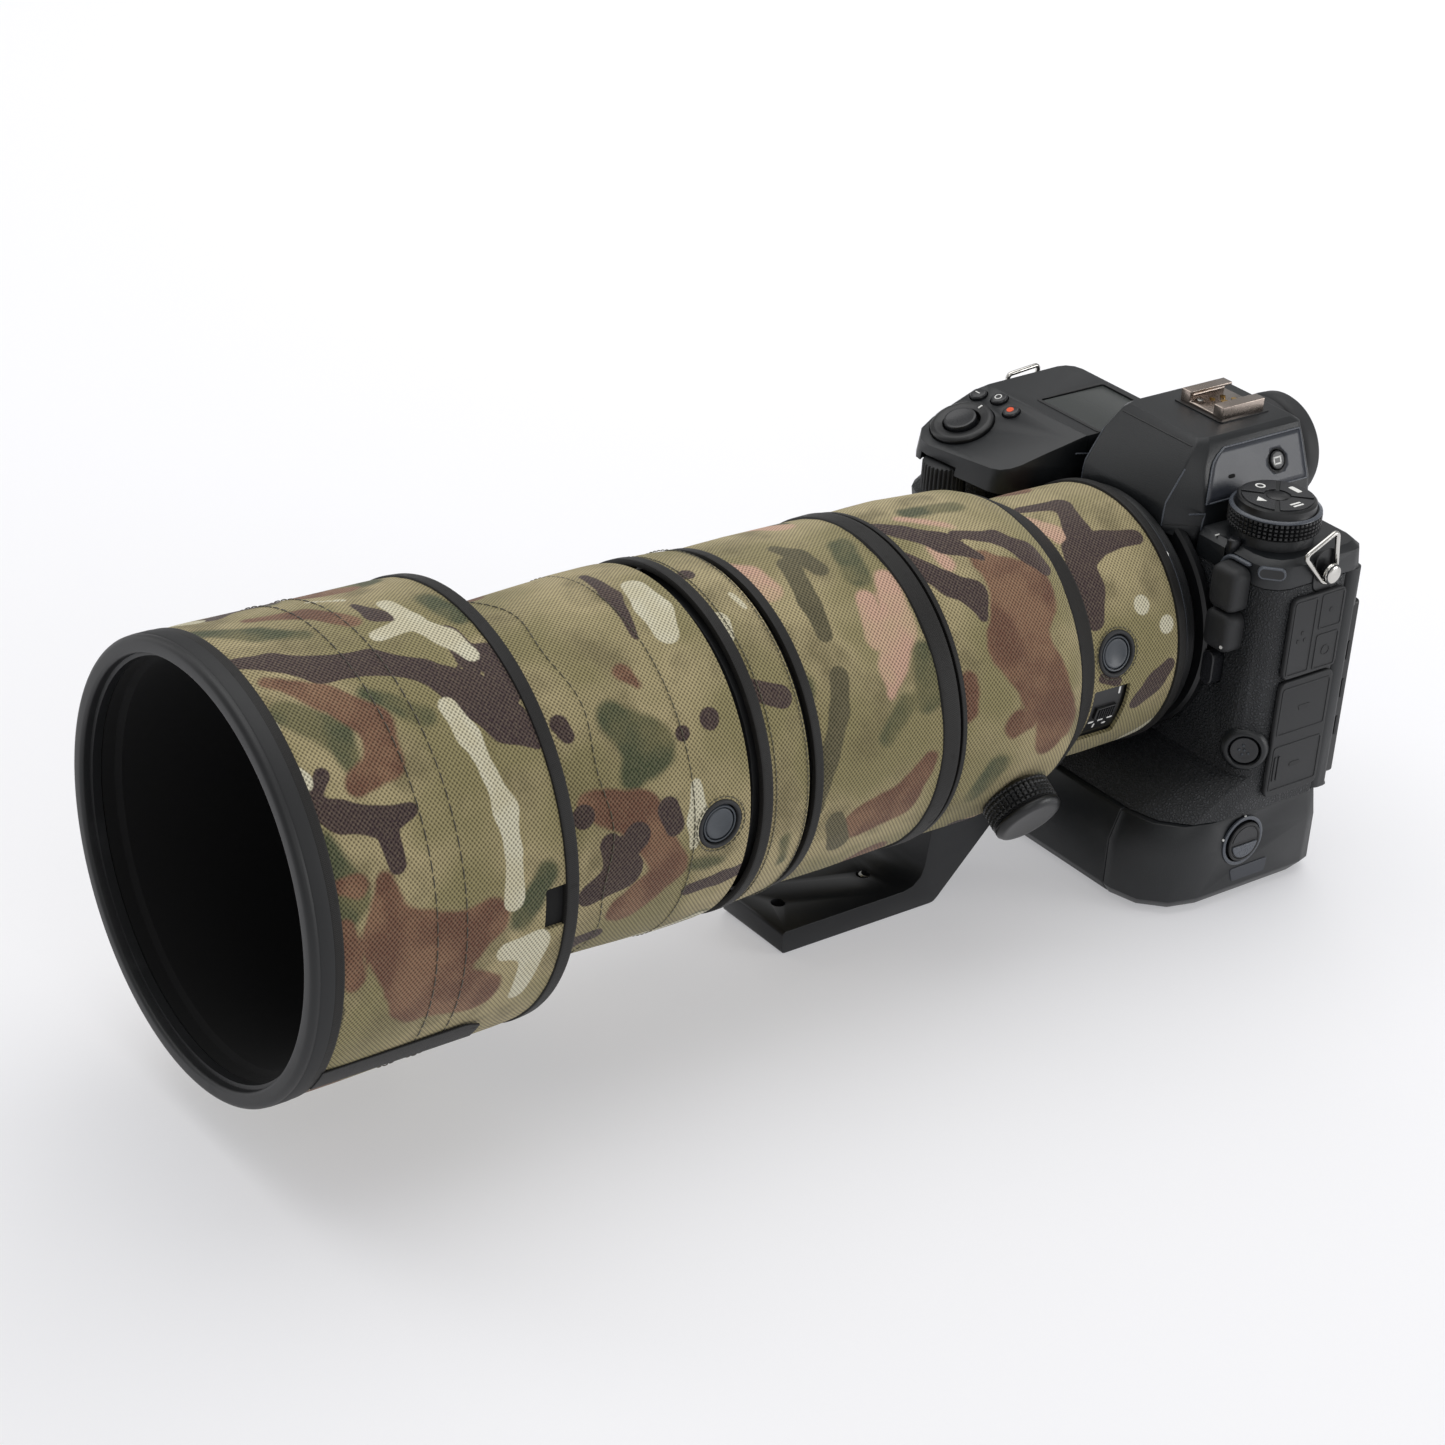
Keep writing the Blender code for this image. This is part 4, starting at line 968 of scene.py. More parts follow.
def cut_with(made: Thing, cutters: Iterable["Form"]) -> None:
    """Cut forms out of a piece and keep the result as its mesh.

    Args:
        made: the piece.
        cutters: forms already in place, in millimetres.
    """
    for cutter in cutters:
        tool = cutter.linked("cutter")
        cut = made.modifiers.new("cut", "BOOLEAN")
        cut.operation = "DIFFERENCE"
        cut.solver = "EXACT"
        cut.object = tool
        bpy.context.view_layer.update()
        shaped = bpy.data.meshes.new_from_object(made.evaluated_get(bpy.context.evaluated_depsgraph_get()))
        made.modifiers.clear()
        made.data = shaped
        bpy.data.objects.remove(tool)


# ---- lens


AXIS = middle("hood_rim")


def on_lens(y: float, angle: float, radius: float) -> Matrix:
    """Frame that stands on the lens: local X along the axis, Z outward.

    Args:
        y: place along the axis.
        angle: degrees from +X towards +Z.
        radius: distance from the axis.

    Returns:
        The frame.
    """
    a = radians(angle)
    way = Vector((cos(a), 0, sin(a)))
    return seat(Vector((AXIS.x, y, AXIS.z)) + way * radius, way, (0, 1, 0))


def ring_form(profile: Outline, segments: int = 144, closed: bool = True, swell: Optional[Swell] = None) -> Form:
    """Turned form round the lens axis.

    Args:
        profile: (radius, y) points.
        segments: divisions round.
        closed: whether the profile is a loop.
        swell: extra radius at an angle, radius and y.

    Returns:
        The form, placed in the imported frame.
    """
    form = Form().lathe(profile, segments, closed, swell)
    # The lathe's Z is the lens axis, and its X and Y are the frame's X and Z.
    form.bm.transform(Matrix(((1, 0, 0, AXIS.x), (0, 0, 1, 0), (0, 1, 0, AXIS.z), (0, 0, 0, 1))))
    return form


def unroll(made: Thing) -> None:
    """Give a turned piece a UV map in metres round and along the axis.

    Args:
        made: the piece.
    """
    mesh = made.data
    while mesh.uv_layers:
        mesh.uv_layers.remove(mesh.uv_layers[0])
    layer = mesh.uv_layers.new(name="UVMap")
    axis = AXIS * MM
    spots = [(atan2(v.co.z - axis.z, v.co.x - axis.x), v.co.y) for v in mesh.vertices]
    reach = max(hypot(v.co.z - axis.z, v.co.x - axis.x) for v in mesh.vertices)
    for face in mesh.polygons:
        first = spots[mesh.loops[face.loop_start].vertex_index][0]
        for i in face.loop_indices:
            angle, y = spots[mesh.loops[i].vertex_index]
            angle = first + (angle - first + pi) % TURN - pi
            layer.data[i].uv = (angle * reach, y)


Chain = tuple[tuple[float, float, float], ...]
Print = dict[Ink, tuple[Chain, ...]]


@dataclass(frozen=True)
class Stain:
    """One shape of the print: a chain of round brush marks (y, degrees, radius)."""

    ink: Ink
    marks: Chain

    def distance(self, y: np.ndarray, angle: np.ndarray, reach: float) -> np.ndarray:
        """Signed distance to the shape.

        Args:
            y: places along the axis.
            angle: radians round it.
            reach: the fabric's radius.

        Returns:
            Millimetres, negative inside.
        """
        best = np.full(y.shape, 99.0)
        chain = self.marks if len(self.marks) > 1 else self.marks * 2
        for (y0, a0, r0), (y1, a1, r1) in zip(chain, chain[1:]):
            start = radians(a0)
            run = (radians(a1) - start) * reach
            across = ((angle - start + pi) % TURN - pi) * reach
            rise = y1 - y0
            t = np.clip(((y - y0) * rise + across * run) / max(rise * rise + run * run, 1e-6), 0, 1)
            gap = np.hypot(y - y0 - t * rise, across - t * run) - (r0 + t * (r1 - r0))
            blend = np.clip(0.5 + 0.5 * (gap - best) / 2.5, 0, 1)
            best = gap * (1 - blend) + best * blend - 2.5 * blend * (1 - blend)
        return best


def scattered(seed: int, front: float, rear: float, reach: float) -> list[Stain]:
    """Stains for the side of a sleeve that has none of its own.

    Args:
        seed: chooses the layout.
        front: lower end along the axis.
        rear: upper end along the axis.
        reach: the fabric's radius.

    Returns:
        The stains.
    """
    draw = random.Random(seed)
    amounts = (
        (Ink.GREEN, 9, 5.0), (Ink.BROWN, 8, 6.5), (Ink.DARK, 8, 3.8), (Ink.UMBER, 3, 3.2), (Ink.CREAM, 5, 2.9),
        (Ink.BLUSH, 1, 4.0)
    )
    stains = []
    area = (rear - front) / 80.0 * reach / 65.0
    for shade, count, size in amounts:
        for _ in range(max(1, round(count * area))):
            y, angle = draw.uniform(front, rear), draw.uniform(112, 325)
            way = draw.uniform(-1.3, 1.3) + (pi if draw.random() < 0.5 else 0)
            marks = []
            for _ in range(draw.randint(2, 5)):
                marks.append((y, angle, size * draw.uniform(0.6, 1.35)))
                way += draw.uniform(-0.8, 0.8)
                y += 11 * sin(way)
                angle += degrees(11 * cos(way) / reach)
                angle = min(328.0, max(110.0, angle))
            stains.append(Stain(shade, tuple(marks)))
            if shade is Ink.DARK and len(marks) > 2:
                y, angle, width = marks[1]
                branch = way + draw.choice((-1.4, 1.4))
                tip = (y + 13 * sin(branch), angle + degrees(13 * cos(branch) / reach), width * 0.6)
                stains.append(Stain(shade, (marks[1], tip)))
    return stains


@dataclass
class Sleeve:
    """One fabric sleeve of the coat: canvas over thin foam, stretched over a turned part."""

    name: str
    node: str
    body: str
    drawn: Print
    seed: int
    line: Outline
    thickness: float = 1.5
    windows: Sequence[tuple[float, float, float, float]] = ()
    pucker: float = 0.22
    made: Optional[Thing] = None

    def outer(self, y: float) -> float:
        """Radius of the canvas at a place along the axis."""
        points = sorted((p[1], p[0]) for p in self.line)
        for (y0, r0), (y1, r1) in zip(points, points[1:]):
            if y <= y1:
                t = min(1.0, max(0.0, (y - y0) / (y1 - y0)))
                return r0 + (r1 - r0) * t
        return points[-1][1]

    def build(self) -> Thing:
        """Build the sleeve.

        Returns:
            The piece.
        """
        low, high = min(p[1] for p in self.line), max(p[1] for p in self.line)
        rows = max(8, round((high - low) / 1.6))
        length = high - low
        profile: list[Point] = []
        for k in range(rows + 1):
            y = low + length * k / rows
            edge = min(k, rows - k) / rows * length
            crown = 0.35 * (1 - exp(-edge / 4.0)) - 0.35
            profile.append((self.outer(y) + crown, y))
        inner = [(r - self.thickness, y) for r, y in reversed(profile)]
        form = ring_form(profile + inner, 260, True, self.crease(low, high))
        self.made = form.piece(self.name, Look.canvas, self.body, slot="camouflage")
        self.cut_windows()
        self.print_inks(low, high)
        unroll(self.made)
        round_edges(self.made, 0.0, 50)
        stand_for(self.made, self.node)
        reach = self.outer((low + high) / 2)
        TURN * reach * MM
        length * MM
        self.rest()
        return self.made

    def rest(self) -> str:
        """The part the sleeve is stretched over."""
        under = {
            "collar": "collar_ring", "focus_ring": "focus_ring", "control_ring": "control_ring",
            "hood": "hood_shell"
        }
        return under.get(self.body, "barrel_tube" if self.node == "rear_sleeve" else "front_barrel")

    def crease(self, low: float, high: float) -> Swell:
        """Small pulls of the cloth: puckers at the bindings and slow waves between them.

        Args:
            low: front end.
            high: rear end.

        Returns:
            A function of angle, radius and y.
        """

        def lift(angle: float, _radius: float, y: float) -> float:
            """Slow waves in the middle and quick ones at the edges."""
            edge = min(y - low, high - y)
            spot = Vector((cos(angle) * 3, sin(angle) * 3, y / 34 + self.seed))
            slow = noise.noise(spot) * self.pucker * 1.3
            quick = sin(angle * 46 + 5 * noise.noise(spot * 1.7)) * exp(-edge / 4.5) * self.pucker * 0.55
            return slow * min(1.0, edge / 6.0) + quick * min(1.0, edge / 1.5)

        return lift

    def cut_windows(self) -> None:
        """Cut the openings for buttons: (y, angle, length along, width round)."""
        cutters = []
        for y, angle, along, across in self.windows:
            outline = circle(along / 2, 40) if along == across else rounded(along, across, 0.8)
            form = Form().prism(outline, -6, 8)
            cutters.append(form.place(on_lens(y, angle, self.outer(y))))
        if cutters:
            cut_with(self.made, cutters)

    def print_inks(self, low: float, high: float) -> None:
        """Store the distance to each ink's shapes at every vertex.

        Args:
            low: front end.
            high: rear end.
        """
        mesh = self.made.data
        spots = np.zeros(len(mesh.vertices) * 3)
        mesh.vertices.foreach_get("co", spots)
        spots = spots.reshape(-1, 3) / MM
        angle = np.arctan2(spots[:, 2] - AXIS.z, spots[:, 0] - AXIS.x)
        reach = self.outer((low + high) / 2)
        stains = [Stain(shade, marks) for shade, chains in self.drawn.items() for marks in chains]
        stains += scattered(self.seed, low, high, reach)
        for shade in Ink:
            nearest = np.full(len(spots), 40.0)
            for stain in stains:
                if stain.ink is shade:
                    nearest = np.minimum(nearest, stain.distance(spots[:, 1], angle, reach))
            layer = mesh.attributes.new(shade.name.lower(), "FLOAT", "POINT")
            layer.data.foreach_set("value", nearest.astype(np.float32))


@dataclass
class Binding:
    """Woven tape folded over a cut edge, or a rubber edge strip."""

    name: str
    body: str
    front: float
    rear: float
    front_radius: float
    rear_radius: float
    thickness: float = 1.5
    finish: Finish = Look.tape

    def reach(self, share: float) -> float:
        """Outer radius at a share of the width."""
        return self.front_radius + (self.rear_radius - self.front_radius) * share

    def build(self) -> Thing:
        """Build the strip.

        Returns:
            The piece.
        """
        width = self.rear - self.front
        outer = []
        for k in range(13):
            t = k / 12
            y = self.front + width * t
            round_off = sqrt(max(0.0, 1 - (2 * t - 1) ** 8))
            outer.append((self.reach(t) - self.thickness * (1 - round_off) * 0.6, y))
        inner = [(self.reach(t) - self.thickness, self.front + width * t) for t in (0.98, 0.5, 0.02)]
        made = ring_form(outer + inner, 192).piece(self.name, self.finish, self.body, slot="soft_rubber")
        unroll(made)
        return made


@dataclass
class Seam:
    """A row of lockstitches sewn round a sleeve."""

    name: str
    body: str
    y: float
    radius: Callable[[float], float]
    finish: Finish = Look.dark_thread
    stitch: float = 2.5
    gap: float = 0.75
    sway: float = 0.0

    def build(self) -> Thing:
        """Build the row.

        Returns:
            The piece.
        """
        form = Form()
        reach = self.radius(self.y)
        count = round(TURN * reach / (self.stitch + self.gap))
        for k in range(count):
            path = []
            for j in range(4):
                t = j / 3
                a = TURN * (k + t * self.stitch / (self.stitch + self.gap)) / count
                y = self.y + self.sway * sin(a * 9)
                r = reach + 0.16 * sin(pi * t) - 0.06
                path.append((AXIS.x + r * cos(a), y, AXIS.z + r * sin(a)))
            form.bar(path, 0.17, 5)
        return form.piece(self.name, self.finish, self.body, smooth=80)


HOOD_PRINT: Print = {
    Ink.CREAM: (
        ((-284, 92, 2.7), (-282, 82, 3.2), (-295, 80, 2.5)),
        ((-283, 82, 3.2), (-277, 74, 3.8), (-274, 67, 2.7)),
        ((-289, 55, 3.0), (-287, 47, 3.4), (-285, 37, 2.1), (-283, 28, 3.7), (-283, 18, 2.4), (-284, 6, 3.6)),
        ((-343, 71, 3.1), (-342, 61, 3.5), (-344, 53, 3.1), (-339, 47, 3.3)),
        ((-286, -8, 3.2), (-276, -9, 4.6), (-278, -25, 2.7)), ((-300, 105, 1.0), (-292, 100, 1.0)),
    ),
    Ink.DARK: (
        ((-342, 84, 2.0), (-328, 80, 3.7), (-318, 74, 5.1), (-302, 72, 4.7), (-290, 66, 3.8),
         (-281, 57, 7.1), (-274, 48, 6.6), (-267, 42, 3.4)),
        ((-292, 95, 1.2), (-290, 88, 3.1), (-285, 84, 1.3)),
        ((-276, 75, 3.8), (-275, 66, 3.8), (-269, 65, 4.7), (-268, 56, 4.7)),
        ((-343, 43, 2.0), (-332, 37, 4.2), (-320, 33, 4.0), (-311, 34, 2.2)),
        ((-320, 33, 3.7), (-319, 23, 2.8)), ((-333, 47, 2.4), (-337, 43, 1.8)),
    ),
    Ink.BROWN: (
        ((-321, 102, 2.1), (-306, 97, 3.4), (-298, 88, 3.4)),
        ((-334, 74, 2.0), (-322, 66, 4.3), (-312, 56, 5.5), (-314, 46, 5.0), (-324, 43, 3.7)),
        ((-324, 20, 3.1), (-324, 7, 8.3), (-302, -1, 9.4), (-292, 3, 6.6)),
        ((-324, 7, 8.3), (-312, -12, 10.3), (-293, -19, 7.6)), ((-337, 12, 2.7), (-335, -2, 3.3)),
        ((-338, 22, 1.8), (-332, 21, 3.5)), ((-345, 6, 2.7),),
    ),
    Ink.GREEN: (
        ((-338, 102, 2.8), (-325, 93, 4.2), (-313, 87, 2.3)),
        ((-334, 64, 4.6), (-324, 56, 5.3), (-323, 48, 3.1)), ((-310, 64, 2.4), (-297, 54, 3.5)),
        ((-339, 32, 3.6), (-334, 19, 5.5), (-338, 11, 2.7)), ((-281, 1, 4.7), (-273, 10, 3.8)),
        ((-272, 90, 3.9), (-269, 80, 3.8)),
    ),
    Ink.UMBER: (
        ((-342, -10, 4.6), (-342, -22, 3.7)),
    ),
}
FRONT_PRINT: Print = {
    Ink.DARK: (
        ((-258, 44, 1.9), (-256, 41, 1.3)), ((-251, 46, 3.0), (-250, 42, 2.5)), ((-234, 6, 4.7),),
        ((-223, 12, 3.7), (-221, 6, 3.4)), ((-243, 6, 3.5), (-238, -5, 6.1), (-248, -10, 4.6)),
        ((-251, 17, 3.7),), ((-210, 102, 1.7), (-211, 86, 2.8), (-215, 66, 1.1)), ((-204, 35, 3.4),),
        ((-214, 33, 2.4),), ((-212, -21, 2.7), (-201, -20, 2.7), (-191, -19, 2.7)),
    ),
    Ink.GREEN: (
        ((-234, 43, 5.3), (-226, 32, 8.3), (-233, 25, 4.5)), ((-213, -10, 2.3), (-203, -12, 1.6)),
    ),
    Ink.BROWN: (
        ((-225, 56, 3.0), (-222, 51, 1.5)),
        ((-248, 20, 4.5), (-233, 13, 6.8), (-221, -9, 5.4), (-234, -20, 6.9)),
    ),
    Ink.CREAM: (
        ((-202, 87, 3.9), (-203, 75, 5.6), (-205, 65, 4.2)),
        ((-213, 17, 1.8), (-213, 6, 3.4), (-214, -3, 1.4)),
    ),
}
CONTROL_PRINT: Print = {
    Ink.DARK: (
        ((-183, 87, 2.8),), ((-187, 40, 3.4), (-177, 35, 3.6)),
    ),
    Ink.CREAM: (
        ((-186, 64, 3.6), (-187, 59, 3.1)), ((-176, 73, 1.1), (-175, 67, 1.1)),
    ),
    Ink.GREEN: (
        ((-179, -12, 1.9), (-177, -23, 1.6)),
    ),
}
FOCUS_PRINT: Print = {
    Ink.BLUSH: (
        ((-136, 121, 4.2), (-133, 108, 4.9)), ((-172, 91, 4.0), (-165, 80, 5.2), (-163, 72, 4.8)),
        ((-134, 58, 3.7), (-137, 45, 4.0)),
        ((-123, 64, 3.6), (-128, 47, 6.4), (-135, 34, 4.8), (-138, 26, 1.6)),
    ),
    Ink.UMBER: (
        ((-148, 90, 2.1), (-144, 83, 3.7), (-142, 75, 3.5)),
        ((-150, 80, 3.5), (-153, 63, 3.5), (-154, 51, 3.0)),
        ((-155, 36, 3.5), (-158, 25, 3.3), (-164, 11, 3.5), (-169, -6, 3.8), (-176, -20, 3.5)),
        ((-154, -25, 4.0), (-159, -13, 3.5)),
    ),
    Ink.GREEN: (
        ((-172, 37, 3.1), (-172, 33, 3.1), (-167, 35, 1.6)), ((-129, 83, 3.2), (-132, 68, 4.5)),
        ((-126, 83, 3.3), (-131, 67, 3.4)), ((-168, 34, 2.8), (-167, 37, 2.4)),
        ((-122, 35, 4.8), (-124, 22, 5.6)), ((-133, 22, 3.2), (-141, 13, 3.2)),
    ),
    Ink.BROWN: (
        ((-125, 0, 3.2), (-134, -13, 7.3), (-148, -17, 7.3)),
    ),
}
COLLAR_PRINT: Print = {
    Ink.DARK: (
        ((-112, 91, 2.5), (-104, 82, 3.3), (-95, 72, 4.6), (-86, 62, 1.3)),
        ((-89, 74, 2.0), (-75, 69, 3.0), (-68, 60, 4.3), (-65, 53, 3.0)),
        ((-113, 71, 3.6), (-103, 56, 4.1), (-96, 50, 4.6), (-96, 42, 2.1)),
    ),
    Ink.BROWN: (
        ((-86, 60, 5.0), (-78, 46, 12.4), (-86, 31, 11.5), (-78, 14, 9.9), (-68, -3, 5.9)),
        ((-108, 22, 3.6), (-109, 13, 4.1)), ((-90, 3, 4.5), (-83, 3, 3.0)),
        ((-76, 11, 7.5), (-74, -8, 5.9)),
    ),
    Ink.BLUSH: (
        ((-100, 90, 1.7), (-87, 78, 1.2)), ((-100, 71, 2.0), (-99, 63, 2.5)),
    ),
    Ink.GREEN: (
        ((-94, 92, 3.8), (-77, 90, 3.4)), ((-100, -23, 4.2), (-95, -13, 5.0)),
    ),
}
REAR_PRINT: Print = {
    Ink.DARK: (
        ((-47, 92, 2.2), (-33, 87, 3.1), (-37, 70, 4.6), (-41, 58, 5.1), (-30, 61, 3.8), (-18, 59, 2.9)),
        ((-43, 60, 5.1), (-46, 43, 6.3), (-47, 30, 3.9)), ((-28, -13, 3.5), (-22, -6, 4.3), (-17, 0, 2.9)),
        ((-46, 4, 1.7), (-39, 0, 1.7)),
    ),
    Ink.BLUSH: (
        ((-51, 85, 2.2), (-45, 70, 3.9)),
    ),
    Ink.CREAM: (
        ((-27, 30, 3.3),), ((-18, 19, 3.1),),
    ),
}


@dataclass
class FabricCoat:
    """The coat: six sleeves with bindings, edge strips, seams and a blank patch."""

    groove: float = 0.3
    parts: dict[str, Sleeve] = field(default_factory=dict)

    def build(self) -> None:
        """Sew the whole coat."""
        self.hood()
        self.front()
        self.bands()
        self.collar()
        self.rear()

    def sleeve(
        self, name: str, node: str, body: str, drawn: Print, seed: int, line: Outline, **more: Any
    ) -> Sleeve:
        """Build one sleeve.

        Args:
            name: its name.
            node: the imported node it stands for.
            body: the body it rides on.
            drawn: shapes of its print.
            seed: layout of the rest of the print.
            line: (radius, y) points of the canvas.
            more: other fields.

        Returns:
            The sleeve.
        """
        made = Sleeve(name, node, body, drawn, seed, line, **more)
        made.build()
        self.parts[name] = made
        return made

    def hood(self) -> None:
        """Sleeve over the hood, with bound edges, two seams behind the rim and the patch."""
        low, high = box_mm("hood_sleeve")
        reach = high.x
        lock = middle("hood_lock_button")
        window = (lock.y + 0.2, 0.0, 8.4, 13.0)
        made = self.sleeve(
            "hood_canvas", "hood_sleeve", "hood", HOOD_PRINT, 11,
            [(reach, low.y + 2.4), (reach - 0.9, high.y - 3.6)], windows=(window,)
        )
        Binding("hood_front_binding", "hood", low.y - 0.9, low.y + 3.0, reach + 0.4, reach + 0.35, 2.0).build()
        Binding("hood_rear_binding", "hood", high.y - 4.4, high.y + 0.6, reach - 0.5, reach - 0.9, 1.8).build()
        for k, place in enumerate((32.0, 41.5)):
            Seam(
                f"hood_seam_{k + 1}", "hood", low.y + place, lambda y, m=made: m.outer(y) + 0.12, Look.dark_thread,
                3.4, 1.0
            ).build()
        self.patch(low.y + 2.0, reach)

    def patch(self, front: float, reach: float) -> None:
        """Blank woven patch low on the port side of the hood.

        Args:
            front: where it starts along the axis.
            reach: the canvas radius.
        """
        rows, columns, length = 26, 12, 52.0
        form = Form()
        spots = []
        for lift in (0.75, 0.1):
            layer = []
            for i in range(rows + 1):
                line = []
                y = front + length * i / rows
                slant = max(0.0, (i / rows - 0.9) * 10) * 2.5
                for j in range(columns + 1):
                    a = radians(-31.5 - slant - (9.5 - slant) * j / columns)
                    r = reach + lift
                    line.append(form.dot((AXIS.x + r * cos(a), y, AXIS.z + r * sin(a))))
                layer.append(line)
            spots.append(layer)
        top, under = spots
        for i in range(rows):
            for j in range(columns):
                form.bm.faces.new((top[i][j], top[i + 1][j], top[i + 1][j + 1], top[i][j + 1]))
                form.bm.faces.new((under[i][j], under[i][j + 1], under[i + 1][j + 1], under[i + 1][j]))
        rim = [(i, 0) for i in range(rows)] + [(rows, j) for j in range(columns)]
        rim += [(i, columns) for i in range(rows, 0, -1)] + [(0, j) for j in range(columns, 0, -1)]
        for (i, j), (m, n) in zip(rim, rim[1:] + rim[:1]):
            form.bm.faces.new((top[i][j], top[m][n], under[m][n], under[i][j]))
        made = form.piece("blank_patch", Look.patch, "hood", bevel=0.2, smooth=50)
        unroll(made)

    def front(self) -> None:
        """Stretch sleeve before the front button, with its sewn join and buttonhole ring."""
        low, high = box_mm("front_sleeve")
        button = middle("front_fn_button")
        hole = (button.y, 2.0, 15.6, 15.6)
        line = [
            (high.x - 3.0, low.y + 1.0), (high.x - 1.6, low.y + 8), (high.x - 0.5, -216.0), (high.x - 0.15, -212.0),
            (high.x, high.y - 1)
        ]
        made = self.sleeve(
            "front_canvas", "front_sleeve", "lens", FRONT_PRINT, 23, line, windows=(hole,), pucker=0.3
        )
        Seam("front_join_seam", "lens", -214.2, lambda y, m=made: m.outer(y) + 0.12, Look.thread, 2.0, 0.6).build()
        Seam(
            "front_side_seam", "lens", -243.0, lambda y, m=made: m.outer(y) + 0.12, Look.thread, 2.4, 0.9, 1.2
        ).build()
        self.buttonhole("front_buttonhole", "lens", button.y, 2.0, made.outer(button.y), 8.6)

    def buttonhole(self, name: str, body: str, y: float, angle: float, reach: float, radius: float) -> None:
        """Ring of stitches round a hole.

        Args:
            name: the piece.
            body: the body it rides on.
            y: place along the axis.
            angle: degrees round it.
            reach: the canvas radius.
            radius: of the ring.
        """
        form = Form()
        count = 26
        for k in range(count):
            start = TURN * k / count
            path = []
            for j in range(3):
                a = start + j / 2 * TURN / count * 0.72
                x, z = radius * cos(a), radius * sin(a)
                sink = sqrt(reach * reach - z * z) - reach
                path.append((x, z, sink + 0.1 + 0.12 * (j == 1)))
            form.bar(path, 0.17, 5)
        form.piece(name, Look.thread, body, on_lens(y, angle, reach), smooth=80)

    def bands(self) -> None:
        """Sleeves of the two turning rings, and the edge strips between them."""
        low, high = box_mm("control_sleeve")
        reach = high.x
        made = self.sleeve(
            "control_canvas", "control_sleeve", "control_ring", CONTROL_PRINT, 37,
            [(reach, low.y + 2.2), (reach - 0.6, high.y - 0.8)], pucker=0.1
        )
        Binding(
            "control_front_strip", "control_ring", low.y - 0.2, low.y + 4.2, reach + 0.5, reach + 0.4, 1.8
        ).build()
        Seam(
            "control_seam_1", "control_ring", low.y + 5.3, lambda y, m=made: m.outer(y) + 0.05, Look.thread, 1.8,
            0.5
        ).build()
        Seam(
            "control_seam_2", "control_ring", high.y - 1.7, lambda y, m=made: m.outer(y) + 0.05, Look.thread, 1.8,
            0.5
        ).build()
        low, high = box_mm("focus_sleeve")
        reach = high.x
        line = [(reach, low.y + 2.4), (reach + 0.25, -146.0), (reach - 0.2, high.y - 0.4)]
        self.sleeve("focus_canvas", "focus_sleeve", "focus_ring", FOCUS_PRINT, 41, line, pucker=0.26)
        Binding("focus_front_strip", "focus_ring", low.y - 0.2, low.y + 3.6, reach + 0.55, reach + 0.4, 1.8).build()
        Binding(
            "focus_rear_strip", "focus_ring", high.y - 7.4, high.y + 0.1, reach + 0.45, reach + 0.55, 1.7
        ).build()

    def collar(self) -> None:
        """Sleeve of the tripod collar, slit for the foot and pulled in at its rear edge."""
        low, high = box_mm("collar_sleeve")
        reach = high.x
        _, foot_high = box_mm("tripod_foot")
        knob_spot = middle("clamp_knob")
        knob = degrees(atan2(knob_spot.z - AXIS.z, knob_spot.x - AXIS.x))
        line = [
            (reach - 0.3, low.y + 0.6), (reach - 0.1, -88.0), (reach - 1.8, -66.0), (reach - 3.6, -60.5),
            (reach - 9.0, high.y - 1.6)
        ]
        holes = ((-83.5, -90.0, 58.0, 2 * foot_high.x + 2.0), (knob_spot.y, knob, 14.0, 14.0))
        made = self.sleeve(
            "collar_canvas", "collar_sleeve", "collar", COLLAR_PRINT, 53, line, thickness=1.4, windows=holes,
            pucker=0.34
        )
        Binding("collar_front_strip", "collar", low.y - 0.1, low.y + 2.0, reach + 0.3, reach + 0.2, 1.7).build()
        Binding("collar_rear_elastic", "collar", -60.4, high.y + 0.3, reach - 3.2, reach - 9.0, 1.9).build()
        self.buttonhole("knob_hole_seam", "collar", knob_spot.y, knob, made.outer(knob_spot.y), 7.9)

    def rear(self) -> None:
        """Sleeve behind the collar, with the buttonhole and the switch window."""
        low, high = box_mm("rear_sleeve")
        reach = high.x
        button = middle("rear_fn_button")
        angle = degrees(atan2(button.z - AXIS.z, button.x - AXIS.x))
        holes = ((button.y, angle, 15.6, 15.6), (-41.0, -16.0, 15.0, 21.0))
        made = self.sleeve(
            "rear_canvas", "rear_sleeve", "lens", REAR_PRINT, 67,
            [(reach - 0.5, low.y + 0.4), (reach, -34.0), (reach - 0.3, high.y - 2.8)], windows=holes, thickness=1.3,
            pucker=0.18
        )
        Binding("rear_edge_binding", "lens", high.y - 3.4, high.y + 0.4, reach + 0.3, reach + 0.2, 1.8).build()
        self.buttonhole("rear_buttonhole", "lens", button.y, angle, made.outer(button.y), 8.5)


